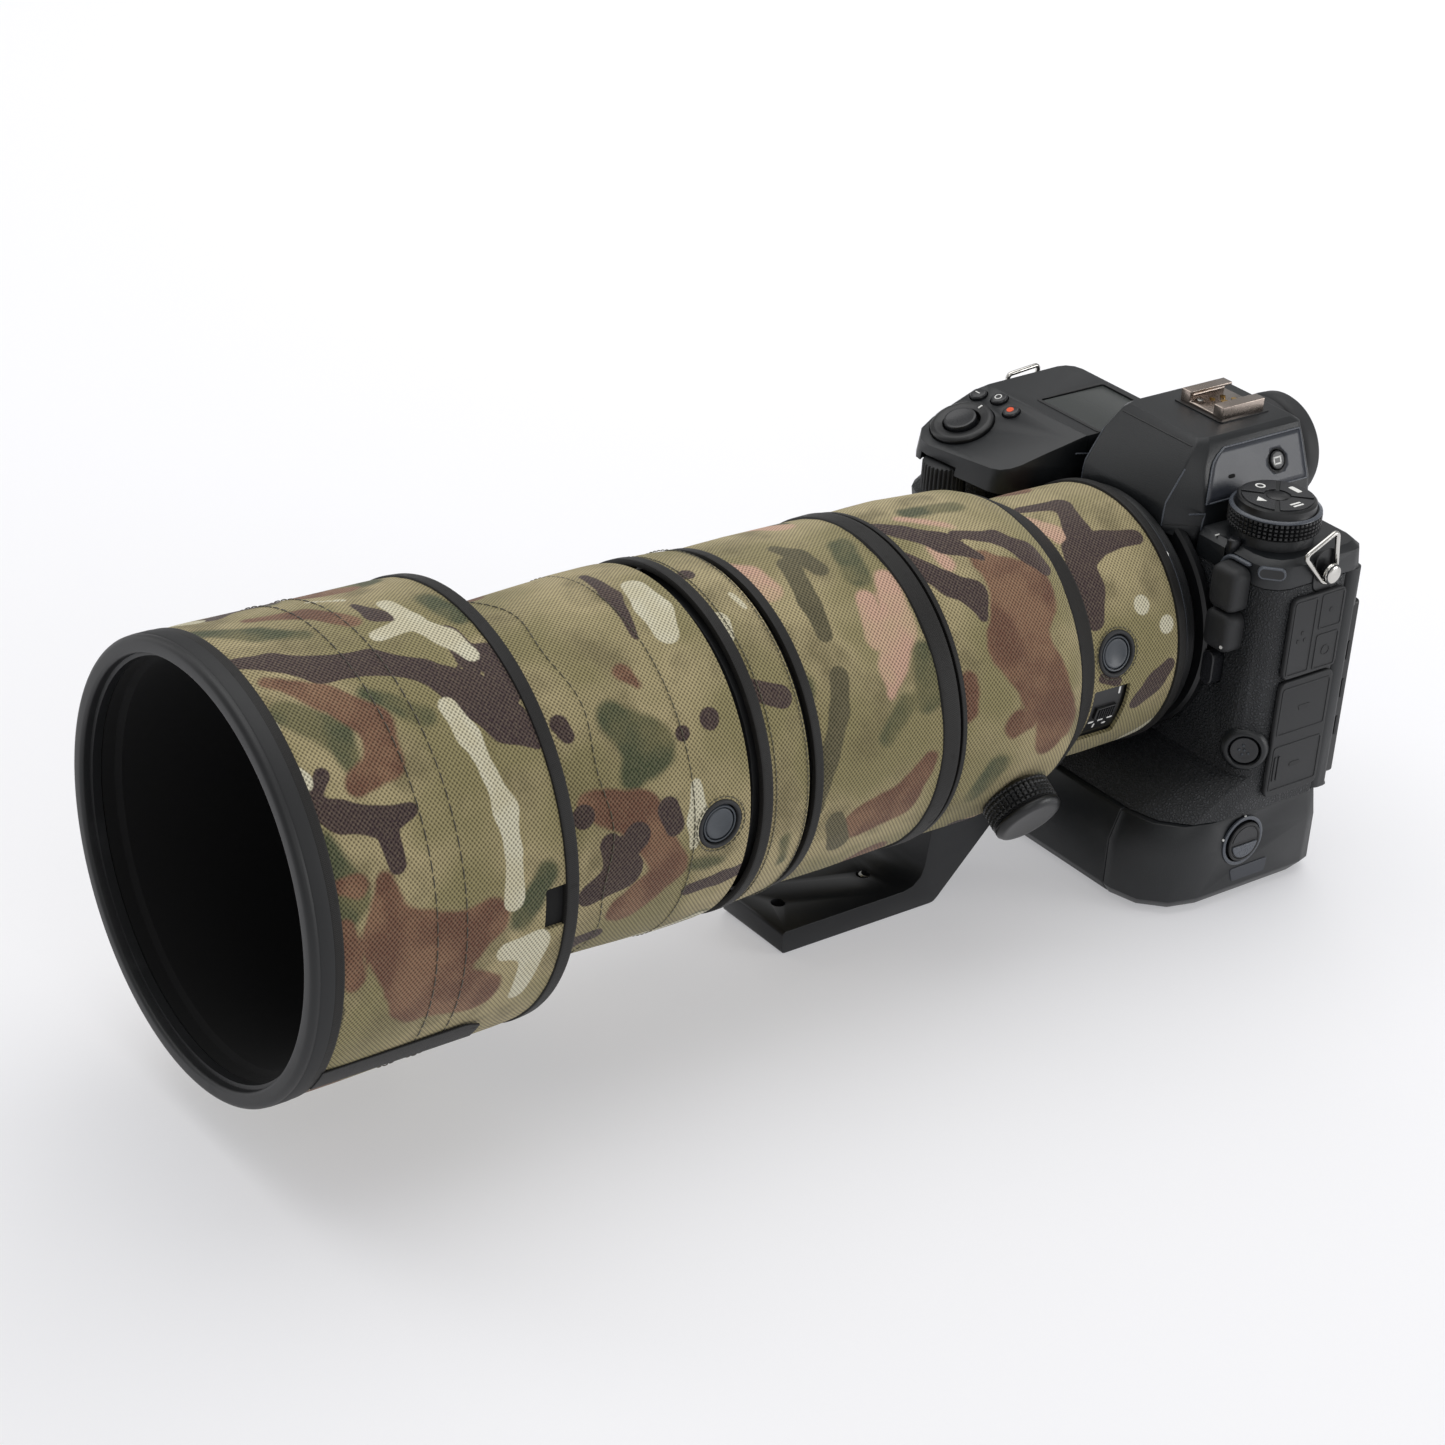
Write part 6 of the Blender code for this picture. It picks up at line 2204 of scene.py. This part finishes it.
        # painted highlight: a pale ring along the dial's top bevel, in the edge paint
        bright = [
            (radius - 0.5, ring_top - 0.35), (radius + 0.02, ring_top - 0.2), (radius - 0.1, ring_top + 0.15),
            (radius - 1.2, ring_top + 0.5), (radius - 1.4, ring_top)
        ]
        Form().lathe(bright, 160, True).piece(
            "dial_bevel", Look.edge, "release_dial", upright(centre.x, centre.y, 0), smooth=60
        )
        place = upright(centre.x, centre.y, top - 0.4)
        for k in range(4):
            start = pi / 4 + k * pi / 2 + 0.07
            sweep = pi / 2 - 0.14
            outer = circle(radius - 3.3, 12, start, sweep)
            inner = circle(4.4, 8, start + 0.06, sweep - 0.12)
            sector = Form().prism(outer + list(reversed(inner)), -0.3, 0.45)
            sector.piece(f"dial_button_{k + 1}", Look.button, "release_dial", place, bevel=0.18)
            a = start + sweep / 2
            spot = Matrix.Translation((7.9 * cos(a), 7.9 * sin(a), 0.45)) @ Matrix.Rotation(a - pi / 2, 4, "Z")
            mark = Form()
            if k == 0:
                mark.prism(rounded(4.6, 2.0, 0.4, 3), -0.2, 0.08)
            elif k == 1:
                mark.lathe([(1.7, -0.2), (1.7, 0.08), (1.1, 0.08), (1.1, -0.2)], 32, True)
            elif k == 2:
                mark.prism([(-2.0, -1.2), (2.0, -1.2), (0.0, 1.5)], -0.2, 0.08)
            else:
                mark.prism(rounded(4.4, 0.8, 0.2, 2), -0.2, 0.08).moved(Matrix.Translation((0, 1.5, 0)), 2)
            mark.place(spot).piece(f"dial_mark_{k + 1}", Look.white, "release_dial", place)
        Form().lathe(
            [(0.0, -0.3), (3.6, -0.3), (3.6, 0.15), (3.2, 0.4), (0.0, 0.25)], 48
        ).piece("dial_hub", Look.trim, "release_dial", place)
        Form().prism(rounded(0.5, 1.8, 0.15, 2), -0.2, 0.08).piece(
            "dial_index", Look.white, "camera",
            upright(centre.x - 8.6, centre.y - radius - 0.9, box_mm("port_top_cover")[1].z - 3.5)
        )

    def port_side(self) -> None:
        """Doors with seams and plain symbols, capped sockets and the focus-mode button."""
        for node in ("audio_door", "video_door"):
            dress(node, Look.rubber, 0.5)
        low, high = box_mm("audio_door")
        face = high.x
        y_mid, z_mid = (low.y + high.y) / 2, (low.z + high.z) / 2
        deep, tall = high.y - low.y, high.z - low.z
        cells = (
            (-deep / 4, 0, deep / 2 - 1.8, tall - 2.4), (deep / 4, tall / 4, deep / 2 - 1.8, tall / 2 - 1.8),
            (deep / 4, -tall / 4, deep / 2 - 1.8, tall / 2 - 1.8)
        )
        for k, (y, z, wide, high_) in enumerate(cells):
            place = portward(face, y_mid + y, z_mid + z)
            self.frame_piece(
                f"audio_panel_{k + 1}", rounded(wide, high_, 1.0), rounded(wide - 1.0, high_ - 1.0, 0.6), -0.2,
                0.22, place, Look.rubber, "audio_door"
            )
            self.symbol(f"audio_symbol_{k + 1}", k, place, "audio_door")
        low, high = box_mm("video_door")
        y_mid = (low.y + high.y) / 2
        place = portward(face, y_mid, high.z - 11.0)
        self.frame_piece(
            "video_panel_1", rounded(deep - 2.2, 17.5, 1.2), rounded(deep - 3.2, 16.5, 0.8), -0.2, 0.22, place,
            Look.rubber, "video_door"
        )
        self.symbol("video_symbol_1", 3, place, "video_door")
        place = portward(face, y_mid, low.z + 10.5)
        self.frame_piece(
            "video_panel_2", rounded(deep - 2.2, 16.5, 1.2), rounded(deep - 3.2, 15.5, 0.8), -0.2, 0.22, place,
            Look.rubber, "video_door"
        )
        self.symbol("video_symbol_2", 4, place, "video_door")
        tabs = Form().prism(rounded(1.0, 9.0, 0.4), -0.6, 0.35).moved(Matrix.Translation((1.7, 0, 0)), 2)
        tabs.piece("video_pull", Look.rubber, "video_door", portward(face, low.y + 2.6, low.z + 10.5), bevel=0.15)
        lower, upper = box_mm("remote_cover")[0], box_mm("sync_cover")[1]
        left, top, right = lower.x - 1.1, upper.z + 1.2, upper.x - 1.5
        arch = filleted(
            [(left, lower.z + 6.0, 0.1), (left, top, 5.4), (right, top, 0.1), (right + 0.1, lower.z, 0.1)]
        )
        kept = [(x, z) for x, z in arch if z > lower.z + 6.2 and (x < right - 0.2 or z > top - 0.2)]
        path = [(x, upper.y, z) for x, z in kept]
        # painted highlight: a pale line along the arch over the socket caps, in the edge paint
        Form().bar(path, 0.8, 12).piece("socket_arch", Look.edge, "camera", smooth=60)
        badge = seat(
            (self.port - 3.4, box_mm("port_top_cover")[0].y + 3.0, box_mm("port_top_cover")[0].z + 5.2),
            (0.7071, -0.7071, 0), (0.7071, 0.7071, 0)
        )
        # painted highlight: the badge's rim is drawn in the pale edge paint round its dark face
        Form().prism(rounded(9.0, 4.2, 2.0), -1.5, 0.35, 0.2).piece(
            "blank_badge", Look.edge, "camera", badge, bevel=0.15
        )
        Form().prism(rounded(7.8, 3.0, 1.4), -1.2, 0.42).piece("blank_badge_face", Look.trim, "camera", badge)
        self.cap("sync_cap", "sync_cover")
        self.cap("remote_cap", "remote_cover")
        self.focus_button()

    def symbol(self, name: str, kind: int, place: Matrix, body: str) -> None:
        """Small raised symbol on a door.

        Args:
            name: the piece.
            kind: which symbol.
            place: its seat.
            body: the body it rides on.
        """
        form = Form()
        if kind == 0:
            for x, y in ((0, 1.6), (-1.5, -1.2), (1.5, -1.2)):
                form.prism([(x + a, y + b) for a, b in rounded(1.3, 1.3, 0.3, 2)], -0.1, 0.14)
        elif kind == 1:
            form.lathe([(0.0, -0.1), (0.0, 0.14), (0.9, 0.14), (0.9, -0.1)], 24)
        elif kind == 2:
            form.lathe([(1.9, -0.1), (1.9, 0.14), (1.5, 0.14), (1.5, -0.1)], 32, True)
        elif kind == 3:
            form.prism([(-2.6, 0.9), (-2.0, -0.9), (2.0, -0.9), (2.6, 0.9)], -0.1, 0.14)
        else:
            form.prism(rounded(5.0, 1.7, 0.8), -0.1, 0.14)
        form.piece(name, Look.edge_rubber, body, place, bevel=0.05)

    def cap(self, name: str, node: str) -> None:
        """Soft capped socket cover with a pull lip and a white dot.

        Args:
            name: the piece.
            node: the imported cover, which is also its body.
        """
        low, high = box_mm(node)
        centre = (low + high) / 2
        wide, tall = high.x - low.x, high.z - low.z
        form = Form()
        levels = [(0.0, 0.0), (0.55, 0.0), (0.8, 0.35), (0.93, 1.0), (1.0, 2.2)]
        depth = high.y - low.y
        rings = []
        for share, pull in levels:
            line = rounded(wide - 2 * pull, tall - 2 * pull, max(0.6, 3.4 - pull), 7)
            rings.append([form.dot((x, y, depth * share)) for x, y in line])
        made = form.loft(rings).piece(
            name, Look.rubber, node, seat((centre.x, high.y, centre.z), (0, -1, 0), (1, 0, 0)), slot="soft_rubber",
            smooth=60
        )
        stand_for(made, node)
        if node == "remote_cover":
            Form().prism(circle(0.55, 20), -0.3, 0.12).piece(
                "cap_dot", Look.white, node, seat((high.x - 2.4, low.y, low.z + 2.6), (0, -1, 0), (1, 0, 0))
            )

    def focus_button(self) -> None:
        """Dimpled round button in a raised collar."""
        place = seat(crest("focus_mode_button", BEVEL_FACE), BEVEL_FACE, (0, 0, 1))
        cap = [(0.0, -0.5), (3.0, -0.35), (3.9, 0.0), (4.5, -0.1), (4.75, -0.6), (4.75, -2.8), (0.0, -2.8)]
        stand_for(
            Form().lathe(cap, 72).piece("focus_cap", Look.button, "focus_mode_button", place, slot="controls"),
            "focus_mode_button"
        )
        for k in range(5):
            a = TURN * k / 5 + 0.3
            r = 0.0 if k == 4 else 1.7
            bump = [(0.55, -0.6), (0.5, -0.3), (0.3, -0.12), (0.0, -0.06)]
            Form().lathe(bump, 20).place(Matrix.Translation((r * cos(a), r * sin(a), 0.05))).piece(
                f"focus_bump_{k + 1}", Look.slate, "focus_mode_button", place, smooth=80
            )
        collar = [(5.2, -2.5), (5.2, 0.0), (5.6, 0.45), (6.4, 0.4), (7.2, -0.3), (8.0, -2.5)]
        Form().lathe(collar, 80, True).piece("focus_collar", Look.shell, "camera", place, smooth=50)

    def battery_side(self) -> None:
        """Flip latch with its half-moon handle, marks and the release slot."""
        low, high = box_mm("battery_latch")
        spot = Vector((high.x, (low.y + high.y) / 2, (low.z + high.z) / 2))
        radius = (high.y - low.y) / 2
        place = seat(spot, (1, 0, 0), (0, 1, 0))
        disc = [
            (0.0, -3.4), (radius - 0.15, -3.4), (radius - 0.15, -0.5), (radius - 0.5, -0.15), (radius - 1.0, -0.15),
            (radius - 1.3, -0.5), (0.0, -0.5)
        ]
        stand_for(
            Form().lathe(disc, 72).piece("latch_disc", Look.trim, "battery_latch", place, slot="controls"),
            "battery_latch"
        )
        handle = circle(radius - 1.6, 24, pi * 1.04, pi * 0.92)
        # painted highlight: the half-moon handle is drawn in the pale edge paint
        Form().prism(handle, -0.6, 0.1).piece("latch_handle", Look.edge, "battery_latch", place, bevel=0.25)
        rest = circle(radius - 1.6, 24, pi * 0.04, pi * 0.92)
        Form().prism(rest, -0.8, -0.28).piece("latch_face", Look.button, "battery_latch", place, bevel=0.15)
        for k, (y, z) in enumerate(((-radius - 1.8, 2.6), (0.0, radius + 1.8))):
            Form().prism(circle(0.42, 16), -0.3, 0.1).piece(
                f"latch_dot_{k + 1}", Look.white, "battery",
                portward(box_mm("battery_cover")[1].x, spot.y + y, spot.z + z)
            )
        slot_place = portward(box_mm("battery_cover")[1].x, spot.y + 4.4, low.z - 5.4)
        wedge = filleted([(-8.6, 2.6, 0.8), (-6.8, -2.4, 0.8), (8.2, -2.4, 0.8), (8.8, 2.6, 0.8)], 4)
        Form().prism(wedge, -0.3, 0.3, 0.2).piece("latch_slot", Look.panel, "battery", slot_place, bevel=0.1)
        ring = [
            (radius + 0.5, -0.3), (radius + 0.5, 0.35), (radius + 1.1, 0.55), (radius + 1.7, 0.3),
            (radius + 1.7, -0.3)
        ]
        # painted highlight: a pale ring round the latch, in the edge paint
        Form().lathe(ring, 80, True).piece(
            "latch_surround", Look.edge, "battery", portward(box_mm("battery_cover")[1].x, spot.y, spot.z),
            smooth=60
        )

    def strap_ring(self, node: str, face: float, side: int) -> None:
        """Triangular wire ring through a lug, with a guard behind it.

        Args:
            node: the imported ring, which is also its body.
            face: the body side that carries the lug.
            side: 1 towards +X and -1 towards -X.
        """
        joint = next(j for j in frame["joints"] if j["child"] == node)
        hub = Vector(joint["pos_m"]) / MM
        reach = middle(node).x
        lean = radians(-155.0 if side > 0 else 175.0)
        bends = []
        for x, y, radius in ((0.0, 12.2, 3.6), (-7.5, -12.0, 1.6), (7.5, -12.0, 1.6)):
            bends.append((x * cos(lean) - y * sin(lean), x * sin(lean) + y * cos(lean), radius))
        path = [(reach, hub.y + side * x, hub.z + y) for x, y in filleted(bends)]
        made = Form().bar(path, 0.85, 14, True).piece(
            f"{node}_wire", Look.chrome, node, slot="ring_steel", smooth=60
        )
        stand_for(made, node)
        way = (side, 0, 0)
        guard = rounded(9.6, 15.0, 3.6)
        Form().prism(guard, 0.02, 0.45, 0.2).piece(
            f"{node}_guard", Look.trim, "camera", seat((face, hub.y, hub.z), way, (0, 1, 0)), bevel=0.1
        )
        head = [(0.0, 4.75), (2.2, 4.7), (3.2, 4.3), (3.5, 3.7), (3.5, 2.95), (0.0, 2.95)]
        Form().lathe(head, 40).piece(
            f"{node}_lug_head", Look.chrome, "camera", seat((face, hub.y, hub.z), way, (0, 1, 0)), smooth=50
        )

    def back(self) -> None:
        """Rear screen glass, buttons, four-way pad and selector."""
        low, high = box_mm("monitor")
        centre = (low + high) / 2
        place = rearward(centre.x, high.y, centre.z)
        wide, tall = high.x - low.x, high.z - low.z
        Form().prism(rounded(wide - 4.0, tall - 4.0, 1.6), -0.6, 0.18, 0.15).piece(
            "monitor_glass", Look.screen, "monitor", place, bevel=0.1, slot="screen"
        )
        for k, z in enumerate((-14.0, 0.0, 14.0)):
            Form().prism(rounded(1.2, 7.0, 0.5), -1.4, 0.3).piece(
                f"monitor_notch_{k + 1}", Look.edge_rubber, "monitor", portward(high.x, centre.y, centre.z + z),
                bevel=0.15
            )
        spot = middle("multi_selector")
        top = box_mm("multi_selector")[1].y
        stick = [(0.0, -0.7), (2.6, -0.5), (3.8, 0.0), (4.3, -0.3), (4.3, -3.4), (0.0, -3.4)]
        radius = (box_mm("multi_selector")[1].x - box_mm("multi_selector")[0].x) / 2
        pad = [
            (0.0, -3.2), (radius - 0.1, -3.2), (radius - 0.1, -1.1), (radius - 0.7, -0.7), (radius - 2.6, -0.5),
            (5.2, -1.0), (4.9, -1.6), (0.0, -1.6)
        ]
        place = rearward(spot.x, top, spot.z)
        stand_for(
            Form().lathe(pad, 80).piece("selector_pad", Look.button, "multi_selector", place, slot="controls"),
            "multi_selector"
        )
        Form().lathe(stick, 48).piece("selector_centre", Look.slate, "multi_selector", place)
        for k in range(4):
            a = k * pi / 2
            tip = [(-0.7, -0.4), (0.7, -0.4), (0.0, 0.6)]
            spin = Matrix.Rotation(a, 4, "Z") @ Matrix.Translation((0, radius - 1.75, -0.62))
            Form().prism(tip, -0.2, 0.06).place(spin).piece(
                f"selector_arrow_{k + 1}", Look.white, "multi_selector", place
            )
        for k, (x, z, size) in enumerate((
            (-40.0, 103.5, 4.4), (-62.0, 98.0, 3.6), (-70.0, 62.0, 3.0), (-39.0, 46.0, 3.0), (-52.0, 46.0, 3.0),
            (-65.0, 46.0, 3.0), (-39.0, 88.0, 3.2)
        )):
            cap = [(0.0, 1.0), (size - 0.6, 0.95), (size - 0.1, 0.5), (size, -0.4), (0.0, -0.4)]
            place = rearward(x, self.rear, z)
            Form().lathe(cap, 48).piece(f"rear_button_{k + 1}", Look.button, "camera", place)
            Form().lathe(
                [(size + 0.15, -0.2), (size + 0.2, 0.15), (size + 0.8, 0.2), (size + 1.0, -0.2)], 48, True
            ).piece(f"rear_button_rim_{k + 1}", Look.trim, "camera", place)

    def underside(self) -> None:
        """Tripod bush under the base."""
        place = seat((0, 8.0, 0), (0, 0, -1), (1, 0, 0))
        bush = [(5.6, -0.4), (5.6, 0.02), (3.2, 0.02)] + [
            (3.2 - (0.25 if i % 2 else 0.0), -0.3 - i * 0.4) for i in range(12)
        ] + [(2.9, -5.4), (5.6, -5.4)]
        Form().lathe(bush, 60, True).piece("tripod_bush", Look.bayonet, "camera", place)


@dataclass
class Studio:
    """Pale floor, soft lamps and the camera that looks at the model."""

    lens: float = 85.9
    spot: tuple[float, float, float] = (0.728639, -0.744187, 0.578231)
    azimuth: float = 51.427
    elevation: float = 28.071
    roll: float = 4.149

    def build(self) -> None:
        """Set the whole studio up."""
        self.camera()
        self.floor()
        self.lamp("key_softbox", (-0.5, 0.1, 2.2), (0.0, -0.1, 0.06), 2.6, 2.2, 30.0)
        self.lamp("side_strip", (1.35, 1.2, 0.5), (0.05, 0.02, 0.12), 0.9, 0.7, 9.0)
        self.lamp("front_softbox", (1.5, -0.6, 1.2), (0.0, -0.15, 0.08), 0.9, 1.2, 4.0)
        self.lamp("left_strip", (-1.3, -0.9, 0.8), (0.0, -0.15, 0.08), 0.5, 1.4, 3.0)
        self.lamp("back_softbox", (-0.9, 1.6, 1.2), (-0.3, 0.9, 0.0), 2.2, 1.2, 20.0, False)
        world = bpy.data.worlds.new("studio_air")
        world.use_nodes = True
        sky = world.node_tree.nodes["Background"]
        sky.inputs["Color"].default_value = (1.0, 1.0, 1.0, 1.0)
        sky.inputs["Strength"].default_value = 0.42
        scene = bpy.context.scene
        scene.world = world
        scene.view_settings.view_transform = "Standard"

    def camera(self) -> None:
        """Place the camera at the viewing angle."""
        az, el, roll = (radians(a) for a in (self.azimuth, self.elevation, self.roll))
        back = Vector((sin(az) * cos(el), -cos(az) * cos(el), sin(el)))
        right = Vector((cos(az), sin(az), 0.0))
        up = back.cross(right)
        c, s = cos(roll), sin(roll)
        turn = Matrix((right * c + up * s, up * c - right * s, back)).transposed()
        data = bpy.data.cameras.new("view_camera")
        data.lens = self.lens
        data.sensor_width = 36.0
        data.clip_start = 0.05
        data.clip_end = 60.0
        made = bpy.data.objects.new("view_camera", data)
        made.matrix_world = Matrix.Translation(Vector(self.spot)) @ turn.to_4x4()
        bpy.context.scene.collection.objects.link(made)
        bpy.context.scene.camera = made

    def floor(self) -> None:
        """Wide pale floor with a very fine mottling."""
        form = bmesh.new()
        half = 9.0
        form.faces.new([
            form.verts.new((x, y, -0.0004)) for x, y in ((-half, -half), (half, -half), (half, half), (-half, half))
        ])
        mesh = bpy.data.meshes.new("studio_floor")
        form.to_mesh(mesh)
        form.free()
        made = bpy.data.objects.new("studio_floor", mesh)
        bpy.context.scene.collection.objects.link(made)
        graph = Graph("floor_paper")
        fibre = graph.cloudy(1.3, 3.0)
        graph.feed("Base Color", graph.mix(fibre * 0.2, ink("c3c3c5"), ink("bdbdc0")))
        graph.feed("Roughness", fibre * 0.06 + 0.6)
        graph.constants(Specular_IOR_Level=0.25, Emission_Color=ink("fcfcff"), Emission_Strength=0.34)
        mesh.materials.append(graph.material)

    def lamp(
        self, name: str, spot: Spot, target: Spot, wide: float, tall: float, power: float, gloss: bool = True
    ) -> None:
        """Add a soft area lamp.

        Args:
            name: its name.
            spot: its place in metres.
            target: the point it faces.
            wide: its width.
            tall: its height.
            power: watts.
            gloss: whether it shows in reflections.
        """
        data = bpy.data.lights.new(name, "AREA")
        data.shape = "RECTANGLE"
        data.size = wide
        data.size_y = tall
        data.energy = power
        made = bpy.data.objects.new(name, data)
        made.visible_glossy = gloss
        made.location = spot
        made.rotation_euler = (Vector(target) - Vector(spot)).to_track_quat("-Z", "Y").to_euler()
        bpy.context.scene.collection.objects.link(made)


def main() -> None:
    """Build the model and the studio."""
    logging.basicConfig(level=logging.INFO, format="%(name)s: %(message)s")
    Studio().build()
    Hood().build()
    FabricCoat().build()
    LensTube().build()
    CameraBody().build()


if __name__ == "__main__":
    main()
